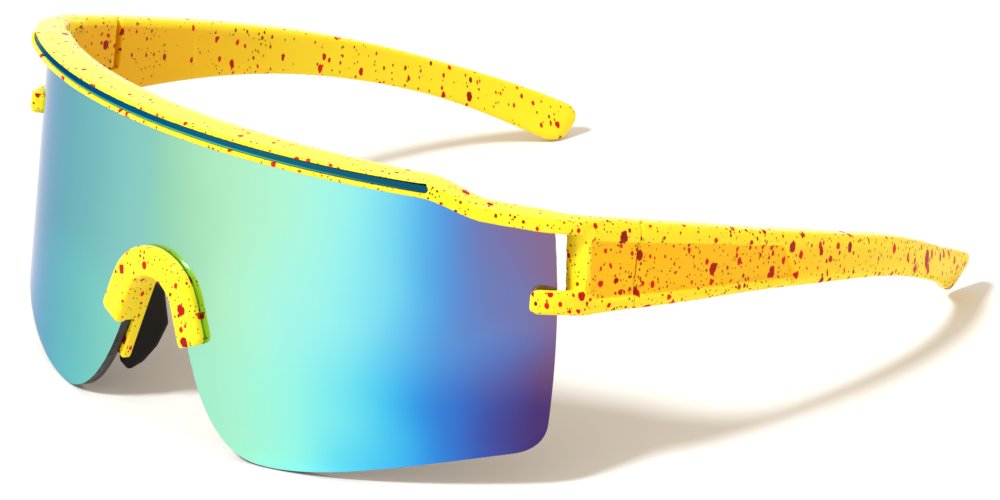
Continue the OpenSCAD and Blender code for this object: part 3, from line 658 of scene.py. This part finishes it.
def frame_rings(sections, q):
    """Places sections, given as distance out and height, at lengths q along the frame line, which runs round
    the lens, round the bend and straight back. Negative lengths are on the wearer's right."""
    length = np.abs(q)
    on_bend = np.clip((length - bend_start) / bend_radius, 0.0, arm_way - bend_from)
    on_lens = np.minimum(length, bend_start) / lens_radius
    turn = on_lens + on_bend
    straight = np.maximum(0.0, length - bend_start - bend_length)
    centre = lens_radius - bend_radius
    x = centre * np.sin(on_lens) + bend_radius * np.sin(turn) + straight * math.cos(arm_way)
    y = lens_radius - centre * np.cos(on_lens) - bend_radius * np.cos(turn) + straight * math.sin(arm_way)
    out, z = np.moveaxis(sections, -1, 0)
    return np.stack([np.sign(q)[:, None] * (x[:, None] + out * np.sin(turn)[:, None]),
                     y[:, None] - out * np.cos(turn)[:, None], z], -1)


def bar_sections(q):
    """Section of the bar: lip, upright front, gently sloped top, flat strip along the back. All changes along
    it are smooth rises, and round the bend the back comes forward by a share of the arm's wall."""
    s = np.abs(q)
    high = bar_top - fall(s)
    low = bar_low - fall(s) + crown_at(s)
    front = mix(bar_front, arm_front, change(s, step_start, step_run))
    bend = change(s, bend_start, bend_length)
    back = bar_back - arm_wall * sink_share * bend
    rear = high - bar_edge * mix(bend ** rear_power, bend, rear_lead)
    return section(
        corner(front - lip_edge, low + lip_edge, lip_edge, 270),
        corner(front - bar_edge, high - front_slope - bar_edge, bar_edge, 0),
        point(strip_width - back, rear),
        corner(bar_edge - back, rear - bar_edge - strip_lean, bar_edge, 90),
        corner(bar_edge - back, low + bar_edge, bar_edge, 180))


def room_sections(s):
    """What the lens needs inside the frame: its wall and its top edge, with a gap all round."""
    top = lens_height + lens_gap - fall(s)
    back = -lens_wall - lens_gap
    return slab(lens_gap, back, -over, top)


def slot_reach(s):
    """Half height of the slot window. Round its two ends it is the root of the half round's radius squared
    less the square of the way past the half round's middle, and it stays a tenth of the radius at least."""
    half_round = slot_height / 2
    past = np.maximum(0.0, np.abs(s) - slot_half + half_round)
    return np.maximum(0.1 * half_round, np.sqrt(np.maximum(0.0, half_round ** 2 - past ** 2)))


def slot_sections(s, near, far, low=0.0, high=1.0):
    """Sections from near to far of the slot window, or of a low to a high share of its height."""
    half = slot_reach(s)
    return slab(near, far, slot_middle + half * (2 * low - 1), slot_middle + half * (2 * high - 1))


def prong_sections(share):
    """A short rounded bar. Its end near the lens's middle is drawn in all round, as a quarter circle runs, to
    half its size."""
    size = 0.5 + 0.5 * np.sqrt(1.0 - (1.0 - np.clip(share / prong_drawn, 0.0, 1.0)) ** 2)
    out = mix(prong_front, arm_front, share) - (1.0 - size) * prong_front / 2
    back = bar_back - arm_wall * sink_share * share
    half = prong_height / 2 * size
    middle = seam_low - prong_height * prong_sink + prong_height / 2
    low = middle - half - prong_height * prong_sag * change(share, *prong_sags)
    rear = middle + half * prong_rear
    r = edge_round * prong_edge * size ** 2
    return section(corner(out - r, middle + half - r, r, 0), corner(r - back, rear - r, r, 90),
                   corner(r - back, low + r, r, 180), corner(out - r, low + r, r, 270))


# Outline of the side arms and temples along their length y. A pair of numbers is where a change starts,
# measured back from the seam, and over what length it runs.
side_gap = 5.1
side_back = 20.0
post_end = post_y + post_round
temple_length = 101.8
temple_sweep = 20.6
sweep_power = 2.15
front_draw = 2.7
top_slope = 0.145
low_slope = 0.03
top_lead = 16.0
low_lead = 12.0
top_droop = 9.6
low_droop = 19.0
top_power = 2.9
low_power = 2.27
arm_wall = 4.6
tip_wall = 3.0
edge_round = 1.4
left_sag = 1.0
right_sag = 0.0
top_sag = 0.45
top_sinks = (12.0, 20.0)
top_rises = (50.0, 20.0)
low_sag = 1.3
low_sag_ahead = 0.72
low_sinks = (-5.0, 25.0)
low_rises = (40.0, 36.0)
post_dip = 0.1
dip_rises = (-endpiece_length, 10.0)
panel_depth = 0.6
panel_shade = 0.3
panel_light = 0.6
# The next seven numbers shape the painted shade behind the outer panel and on the inner face.
fade_share = 0.7
fade_height = 1.6
fade_rate = 20.0
fade_end = 0.85
inner_share = 1.0
inner_fades = (0.0, 55.0)
inner_starts = (-endpiece_length, 3.0)
ridge_top = 1.8
ridge_low = 0.9
high_oval = 1.9
low_oval = 1.6
panel_length = 33.8
panel_rake = 3.8
inner_depth = 0.4
inner_lead = 21.0
inner_length = 20.0
inner_fall = 0.4
thin_round = 0.35
round_limit = 0.45
panel_steps = 14
tip_y = seam_y + temple_length
side_x = lens_half_width + side_gap
side_y = seam_y + side_back
panel_end_y = seam_y + panel_length
inner_start_y = seam_y + inner_lead


def arm_lines(y, sag=0.0):
    """Outer x, top z, low z and thickness of the arm at depth y. Each edge is a straight line less a power of
    the share of the way to the tip, and the outer x also falls with the square of the way to the post. Sag
    lowers both edges along the panel."""
    along = y - seam_y
    top_lies = (sag * top_sag * change(along, *top_sinks) * (1.0 - change(along, *top_rises))
                + post_dip * (1.0 - change(along, *dip_rises)))
    low_lies = (sag * low_sag * mix(low_sag_ahead, 1.0, change(along, *low_sinks))
                * (1.0 - change(along, *low_rises)))
    ahead = np.maximum(0.0, side_y - y) / (side_y - post_y)
    behind = np.maximum(0.0, y - side_y) / (tip_y - side_y)
    top_bend = np.maximum(0.0, along - top_lead) / (temple_length - top_lead)
    low_bend = np.maximum(0.0, along - low_lead) / (temple_length - low_lead)
    outer = side_x - front_draw * ahead ** 2 - temple_sweep * behind ** sweep_power
    top = seam_top - top_slope * along - top_droop * top_bend ** top_power
    low = seam_low + low_slope * along - low_droop * low_bend ** low_power
    return outer, top - top_lies, low - low_lies, mix(arm_wall, tip_wall, smooth(behind))


def panel_lines(top, low):
    """Corner radius, and the heights at which the panel's upper and lower steps start and end."""
    size = (top - low) / (seam_top - seam_low)
    r = edge_round * mix(thin_round, 1.0, size)
    high_line = top - r - ridge_top * size
    low_line = low + r + ridge_low * size
    return r, high_line, high_line - panel_shade * size, low_line + panel_light * size, low_line


def arm_rings(y, nose, sag):
    """Sections of endpiece and temple at depths y: rounded edges, a ridge above and below each panel. Nose is
    how far the outer front corner is rounded off there."""
    outer, top, low, thick = arm_lines(y, sag)
    out, inner = outer - nose, outer - thick
    r, high_rim, high_step, low_step, low_rim = panel_lines(top, low)
    r = np.minimum((out - inner) * round_limit, r)
    open_panel = np.where(y < post_end, 0.0, 1.0)
    shares = np.linspace(0.0, 1.0, panel_steps)
    ends = panel_end_y + panel_rake * shares
    cut = panel_depth * open_panel[:, None] * (1 - smooth((y[:, None] - ends) / panel_depth))
    panel = np.stack([out[:, None] - cut, mix(high_step[:, None], low_step[:, None], shares)], -1)
    left_over = (inner_start_y + inner_length - y) / (inner_length * inner_fall)
    inner_cut = inner_depth * (change(y, inner_start_y, inner_depth) * (1 - smooth(1 - left_over)))
    sections = section(
        corner(out - r, top - r * high_oval, r, 0, high_oval), corner(inner + r, top - r, r, 90),
        point(inner, high_rim), point(inner + inner_cut, high_step),
        point(inner + inner_cut, low_step), point(inner, low_rim),
        corner(inner + r, low + r, r, 180), corner(out - r, low + r * low_oval, r, 270, low_oval),
        point(out, low_rim), panel[:, ::-1], point(out, high_rim))
    return np.stack([sections[..., 0], np.broadcast_to(y[:, None], sections.shape[:2]), sections[..., 1]], -1)


def paint_panel_shade(piece):
    """Writes a piece's attribute of painted shade, which turns the nylon deeper orange: 1 inside the outer
    panels and 0 on the ridges. Behind the panel the middle of the arm keeps a part of it, and so does the inner
    face behind the post; both fade out."""
    x, y, z = points_of(piece).T
    outer, top, low, thick = arm_lines(y, np.where(x > 0, left_sag, right_sag))
    high_step, low_step = panel_lines(top, low)[2:4]
    sunk = smooth((outer - np.abs(x)) / panel_depth * 2.0 - 0.6)
    beside = y > post_end
    outside = (np.abs(x) > outer - thick / 2) & beside
    held = (z < high_step + panel_shade) & (z > low_step - panel_light / 2)
    behind = (y - panel_end_y) / (tip_y - panel_end_y)
    middle = np.clip(np.minimum(z - low_step, high_step - z) / fade_height + 0.5, 0.0, 1.0)
    tail_shade = fade_share * middle * smooth(behind * fade_rate) * (1.0 - smooth(behind / fade_end))
    along = y - seam_y
    inner_shade = inner_share * (1.0 - change(along, *inner_fades)) * change(along, *inner_starts)
    inner_shade *= beside & (top - z > edge_round)
    value = np.where(outside, np.maximum(np.where(held, sunk, 0.0), tail_shade), inner_shade)
    piece.data.attributes.new("painted_shade", "FLOAT", "POINT").data.foreach_set("value", value)


# Hinge: the temple's knuckle turns between two of the endpiece's, on an upright screw
knuckle_radius = 1.75
knuckle_gap = 0.2
seam_gap = 0.2
screw_radius = 0.6
screw_gap = 0.05
screw_length = 8.0
head_radius = 1.05
head_height = 0.7
head_depth = head_height * 1.3
rod_steps = 48
swing_radius = knuckle_radius + knuckle_gap
relief = knuckle_radius + knuckle_gap * 2.5
hinge_x = arm_lines(np.array([seam_y]))[0][0] - arm_wall + knuckle_radius


def rod(radius, low, high):
    """Upright round bar about the hinge's axis."""
    a = np.linspace(0.0, 2 * math.pi, rod_steps, endpoint=False)
    circle = np.stack([hinge_x + radius * np.cos(a), seam_y + radius * np.sin(a)], 1)
    return upright("rod", circle, low, high)


def upright(name, outline, low, high):
    """Upright solid over a flat outline."""
    flat = np.asarray(outline, float)
    return skin(name, [np.c_[flat, np.full(len(flat), z)] for z in (low, high)])


def half_space(way):
    """All that lies in front of the seam, for way -1, or from half its gap behind it on, for way 1."""
    reach = 2 * side_x
    near, far = (seam_y + seam_gap / 2, seam_y + reach) if way > 0 else (seam_y - reach, seam_y)
    return upright("half_space", [(0, near), (reach, near), (reach, far), (0, far)], -reach, reach)


def corner_relief(way, low, high):
    """Clears the inner corner beside the knuckles, so that the inner face can swing past it."""
    outline = np.array([[0, 0], [0, way * swing_radius], [-knuckle_radius, way * relief],
                        [-knuckle_radius - over, way * relief], [-knuckle_radius - over, 0]], float)
    return upright("relief", outline + [hinge_x, seam_y], low, high)


def side_of_frame(sag):
    """Endpiece and prong of the wearer's left."""
    a = np.linspace(0.0, math.pi / 2, 9)
    y = np.r_[post_y + post_round * (1 - np.cos(a)), post_end + np.linspace(0.1, 1.0, 4) * panel_depth,
              np.linspace(post_end + 2, seam_y + knuckle_radius + over, 8)]
    rings = arm_rings(y, np.r_[post_round * (1 - np.sin(a)), np.zeros(len(y) - len(a))], sag)
    along = rings[..., 1] - post_y
    rings[..., 1] += (post_set + post_lean * (seam_top - rings[..., 2])) * (1.0 - smooth(along / post_blend))
    side = skin("side", rings)
    keep = half_space(-1)
    combine(keep, rod(knuckle_radius, 0.0, knuckle_low), "UNION")
    combine(keep, rod(knuckle_radius, knuckle_top, lens_height), "UNION")
    combine(side, keep, "INTERSECT")
    combine(side, rod(swing_radius, knuckle_low, knuckle_top))
    combine(side, corner_relief(-1, knuckle_low, knuckle_top))
    head_top = seam_low + head_depth
    combine(side, rod(head_radius + screw_gap, seam_low - 3 * over, head_top))
    combine(side, rod(screw_radius + screw_gap, seam_low, head_top + screw_length))
    share = np.linspace(0.0, 1.0, 40) ** 1.5
    prong = skin("prong", frame_rings(prong_sections(share), mix(edge_s - prong_grip, rail_end, share)))
    return combine(side, prong, "UNION")


def round_lens(s, out, z):
    """Points at arc length s round the lens's cylinder, so far out from its face, at height z: x is the whole
    radius times the sine of s over the lens's radius, and y goes with the cosine."""
    turn = s / lens_radius
    out = lens_radius + out
    return np.stack([out * np.sin(turn), lens_radius - out * np.cos(turn), z], -1)


def lens_rings(sections, s):
    """Places sections at arc lengths s round the lens's cylinder, which does not bend back at the sides."""
    return round_lens(s[:, None], *np.moveaxis(sections, -1, 0))


bar_q = np.linspace(-rail_end, rail_end, bar_steps)
front = skin("front_moulding", frame_rings(bar_sections(bar_q), bar_q))
combine(front, mirrored(side_of_frame(right_sag)), "UNION")
combine(front, side_of_frame(left_sag), "UNION")
room_s = np.linspace(-edge_s - lens_gap, edge_s + lens_gap, room_steps)
combine(front, skin("lens_room", lens_rings(room_sections(room_s), room_s)))
slot_run = np.sin(np.linspace(-math.pi / 2, math.pi / 2, slot_steps))
slot_s = slot_run * slot_half
combine(front, skin("slot", lens_rings(slot_sections(slot_s, bar_front + over, -lens_wall / 2), slot_s)))
mould(front, mould_grain, rounds=2)
paint_panel_shade(front)

# The lens's mirrored rib stands in the slot, a little below the bar's front. Its dark teal and blue mirror
#  colours are a painted shade of the slot, and a thin strip along its lower edge has brighter mint colours, a
#  painted highlight. Each rib has a low and a high share of the slot's height, a lift and stops of its colour.
rib_gap = 0.12
rib_sink = 0.55
rib_s = slot_run * (slot_half - rib_gap)
rib_shade_and_highlight = [("slot_rib", 0.27, 0.92, 0.0, [(0.0, (0.08, 0.32, 0.52)), (0.5, (0.05, 0.33, 0.49)),
                                            (0.75, (0.08, 0.40, 0.47)), (1.0, (0.04, 0.20, 0.42))]),
             ("slot_painted_highlight", 0.12, 0.27, 0.05, [(0.0, (0.16, 0.52, 0.60)), (0.5, (0.30, 0.78, 0.70)),
                                              (0.72, (0.26, 0.70, 0.62)), (0.86, (0.04, 0.24, 0.42))])]
for name, low, high, lift, tones in rib_shade_and_highlight:
    rib_face = bar_front - rib_sink + lift
    rib = skin(name, lens_rings(slot_sections(rib_s, rib_face, -lens_gap, low, high), rib_s))
    place(rib)
    # Darker mirror colours are painted shade; the thin lower strip's brighter ones are a painted highlight.
    painted_slot_mirror, tree = new_material("mirror_" + name)
    axes = add_node(tree, "SeparateXYZ", {0: spot_of(tree)}).outputs
    across = spread(tree, axes["X"], -band_half, band_half)
    tint = ramp(tree, across, [(share, linear(tone)) for share, tone in tones])
    surface(tree, {"Base Color": tint, "Metallic": 1.0, "Roughness": 0.12,
                   "Specular Tint": (0.25, 0.42, 0.58, 1.0)})
    dress(rib, painted_slot_mirror)
    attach(rib, "front")

place(front)
dress(front, splattered_nylon("nylon_front", 1.2, (5.0, 0.0, 6.0)))
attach(front, "front")
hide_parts("front_frame")


# The temples are plain curved arms, moulded like the frame. Each has a knuckle at its front, a recessed panel
# outside and a shallow one inside, and ends in a slanted rounded tip.
tip_round = 3.2
tip_slant = 0.8
left_draw = 2.8
right_draw = 0.4
left_lead = 13.0
right_lead = 30.0
tip_stop = 0.98
tip_power = 0.9
arm_grain = 0.24


def temple_rings(sag, tip_draw, tip_lead):
    """Rings along the arm, then the tip's, which a power of the cosine draws in towards the arm's middle. A
    smooth rise makes the last ones lean back."""
    end = tip_y - tip_draw
    y = np.unique(np.r_[np.linspace(seam_y - knuckle_radius - over, end - tip_round, 110),
                        np.linspace(panel_end_y, panel_end_y + panel_rake + panel_depth, 40),
                        inner_start_y + np.linspace(0.0, inner_depth, 5)])
    turn = np.linspace(0.0, math.pi / 2 * tip_stop, 12)[1:]
    y = np.r_[y, end - tip_round + tip_round * np.sin(turn)]
    size = np.r_[np.ones(len(y) - len(turn)), np.cos(turn) ** tip_power][:, None]
    outer, top, low, thick = (v[:, None] for v in arm_lines(y, sag))
    rings = arm_rings(y, 0.0, sag)
    middle = (top + low) / 2
    x = mix(outer - thick / 2, rings[..., 0], size)
    up = (rings[..., 2] - middle) * size
    lean = tip_slant * smooth((y - end) / tip_lead + 1)[:, None]
    return np.stack([x, rings[..., 1] + up * lean, middle + up], -1)


def temple_arm(name, sag, tip_draw, tip_lead):
    """The temple of the wearer's left: its knuckle stands out of the seam, between the endpiece's two."""
    arm = skin(name, temple_rings(sag, tip_draw, tip_lead))
    keep = half_space(1)
    combine(keep, rod(knuckle_radius, knuckle_low + knuckle_gap, knuckle_top - knuckle_gap), "UNION")
    combine(arm, keep, "INTERSECT")
    for low, high in ((0.0, knuckle_low + knuckle_gap), (knuckle_top - knuckle_gap, lens_height)):
        combine(arm, rod(swing_radius, low, high))
        combine(arm, corner_relief(1, low, high))
    combine(arm, rod(screw_radius + screw_gap, 0.0, lens_height))
    return mould(arm, arm_grain, rounds=2)


left_arm = temple_arm("temple_arm_left", left_sag, left_draw, left_lead)
right_arm = mirrored(temple_arm("temple_arm_right", right_sag, right_draw, right_lead))
for arm, body, node, amount, offset in ((left_arm, "left_arm", "temple_left", 1.25, (0.0, 40.0, 7.0)),
                                        (right_arm, "right_arm", "temple_right", 0.5, (9.0, -60.0, 13.0))):
    paint_panel_shade(arm)
    place(arm)
    dress(arm, splattered_nylon("nylon_" + node, amount, offset))
    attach(arm, body)
    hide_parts(node)


# The nose bridge is moulded of the same nylon and clips over the lens's cut-out: a rounded flange in front, a
# thin wall in the cut-out and a band behind, which runs on down as two legs.
flange_width = 5.5
flange_wall = 2.0
bridge_wall = 0.6
rear_depth = 4.1
rear_width = 2.8
foot_round = 1.3
bridge_grain = 0.16
flange_foot_z = 16.8
rear_foot_z = 9.0
bridge_in = -lens_gap - bridge_wall
bridge_rear = -lens_wall - lens_gap
arch_end_z = nose_z + nose_radius * flare_sin
flange_leg = (arch_end_z - flange_foot_z) / flare_cos
rear_leg = (arch_end_z - rear_foot_z) / flare_cos


def box_section(inside, outside, back, front, e):
    """Four-cornered section whose corners are rounded by e."""
    return section(corner(outside - e, front - e, e, 0), corner(inside + e, front - e, e, 90),
                   corner(inside + e, back + e, e, 180), corner(outside - e, back + e, e, 270))


def flange_section(drawn):
    """The flange's own section; drawn is how far its foot is drawn in at that ring."""
    r = flange_wall / 2 - drawn * 0.3
    edge = bridge_in + flange_width - drawn
    face = lens_gap + flange_wall - drawn * 0.5
    return section(corner(edge - r, face - r, r, 0), corner(bridge_in + r, face - r, r, 90),
                   point(bridge_in, lens_gap), point(edge, lens_gap))


def wall_section(drawn):
    """The thin wall through the cut-out, which joins the flange to the band."""
    front, back = lens_gap + flange_wall * 0.7 - drawn, bridge_rear - bridge_wall + drawn
    return box_section(bridge_in, -lens_gap, back, front, bridge_wall * 0.4)


def band_section(drawn):
    """The band behind the lens, which runs on down as a leg."""
    front, back = bridge_rear - drawn * 0.5, -rear_depth + drawn * 0.5
    return box_section(bridge_in, bridge_in + rear_width, back, front, bridge_wall * 0.6)


def along_bridge(sections, turn, leg):
    """Places sections, given as distance out from the cut-out's edge and out from the lens, round the arch:
    turn is the angle on the arch, and leg how far down the flared side the section lies."""
    side = np.where(np.cos(turn) >= 0, 1.0, -1.0)
    x = nose_radius * np.cos(turn) + leg * side * flare_sin
    z = nose_z + nose_radius * np.sin(turn) - leg * flare_cos
    far, out = np.moveaxis(sections, -1, 0)
    return round_lens(x[:, None] + far * np.cos(turn)[:, None], out, z[:, None] + far * np.sin(turn)[:, None])


def bridge_shell(name, ring, leg_end, end_round, draw):
    """Carries a ring's section up one leg, over the arch and down the other; end_round rounds its feet."""
    a = np.linspace(0.0, math.pi / 2, 8)[1:]
    feet = [(leg_end - end_round * (1 - math.sin(v)), draw * (1 - math.cos(v))) for v in a]
    legs = [(leg, 0.0) for leg in np.linspace(leg_end - end_round, 0.0, 14)[1:-1]]
    down = feet[::-1] + legs
    arch = np.linspace(nose_flare, math.pi - nose_flare, 60)
    turn = np.r_[np.full(len(down), nose_flare), arch, np.full(len(down), math.pi - nose_flare)]
    leg = np.r_[[v[0] for v in down], arch * 0, [v[0] for v in down[::-1]]]
    drawn = np.r_[[v[1] for v in down], arch * 0, [v[1] for v in down[::-1]]]
    return skin(name, along_bridge(ring(drawn), turn, leg))


bridge = bridge_shell("nose_piece", flange_section, flange_leg, end_round=foot_round, draw=foot_round)
combine(bridge, bridge_shell("wall", wall_section, flange_leg - 0.3, end_round=0.4, draw=0.2), "UNION")
combine(bridge, bridge_shell("band", band_section, rear_leg, end_round=0.6, draw=0.5), "UNION")
mould(bridge, bridge_grain, rounds=4)
place(bridge)
dress(bridge, splattered_nylon("nylon_bridge", 0.8, (14.0, 3.0, 9.0)))
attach(bridge, "front")
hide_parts("nose_bridge")


# The nose pads are soft black rubber, pushed on to tabs behind the bridge's legs. Each is a thin rounded
# blade, wide at the back, that spreads downwards and backwards to lie along the nose.
pad_wall = 2.3
pad_x = 7.6
pad_top = 23.6
pad_height = 19.0
pad_depth = 11.4
pad_slope = 0.31
pad_splay = 0.32
tab_gap = 0.1
pad_corners = np.array([(0, 0), (0.42, 0.12), (1, 0.62), (0.86, 0.84), (0.55, 0.97), (0.25, 1), (0, 0.9)])
foot_x = (nose_radius * flare_cos + rear_leg * flare_sin
          + (bridge_in + rear_width) * flare_cos)
pad_y = lens_radius - math.sqrt((lens_radius - rear_depth) ** 2 - foot_x ** 2) + tab_gap


def rounded_outline(corners, r, n):
    """Closed outline at distance r round a convex row of corners: straight runs joined by arcs."""
    step = np.roll(corners, -1, 0) - corners
    way = np.arctan2(step[:, 1], step[:, 0])
    before = np.roll(way, 1)
    swing = (way - before + math.pi) % (2 * math.pi) - math.pi
    points = [c + r * np.stack([np.sin(b + s * t), -np.cos(b + s * t)], -1)
              for c, b, s in zip(corners, before, swing) for t in np.linspace(0.0, 1.0, 7)]
    points = np.array(points + points[:1])
    return even(points, n)[:-1]


def pad_points(rows=32, columns=96):
    """The blade: its outline shrinks towards a middle point while its half thickness grows as a flat dome,
    the square root of one less the eighth power of the share of the way out. The rings run away from the
    nose."""
    r = pad_wall / 2
    corners = pad_corners * [pad_depth - pad_wall, pad_height - pad_wall] + r
    outline = rounded_outline(corners, r, columns)
    middle = outline.mean(0)
    turn = np.linspace(0.02, math.pi - 0.02, rows)
    share = np.sin(turn)[:, None, None] ** 0.5
    thick = np.sign(np.cos(turn)) * (1 - np.sin(turn) ** 4) ** 0.5 * r
    back, down = np.moveaxis(mix(middle[None, None], outline[None], share), -1, 0)
    normal = np.array([1.0, -pad_splay, pad_slope])
    normal /= np.linalg.norm(normal)
    spot = np.stack([pad_x + pad_slope * down + pad_splay * back, pad_y + back, pad_top - down], -1)
    return spot + (r - thick)[:, None, None] * normal


pads = {"nose_pad_left": skin("pad_left", pad_points()),
        "nose_pad_right": mirrored(skin("pad_right", pad_points()))}
soft_rubber, tree = new_material("soft_rubber")
grain = noise(tree, spot_of(tree), 6.0, 3.0)
tone = ramp(tree, grain, [(0.3, (0.002, 0.002, 0.002)), (0.7, (0.005, 0.005, 0.005))])
bump = add_node(tree, "Bump", {"Height": grain, "Strength": 0.3, "Distance": 0.03 * MM})
surface(tree, {"Base Color": tone, "Roughness": spread(tree, grain, 0.0, 1.0, 0.42, 0.6),
               "Normal": bump.outputs[0], "Specular IOR Level": 0.08})
for node, pad in pads.items():
    place(pad)
    smooth_faces(pad)
    dress(pad, soft_rubber)
    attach(pad, "front")
    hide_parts(node)


# The hinge screws are small turned steel screws, driven up from below through the knuckles. Their shape is
# the CAD's own, so they only get their material here.
turned_steel, tree = new_material("turned_steel")
dull = spread(tree, noise(tree, spot_of(tree), 8.0, 4.0), 0.0, 1.0, 0.22, 0.42)
surface(tree, {"Base Color": (0.56, 0.56, 0.58, 1.0), "Metallic": 1.0, "Roughness": dull})
for node in ("hinge_screw_left", "hinge_screw_right"):
    dress(frame["nodes"][node], turned_steel)
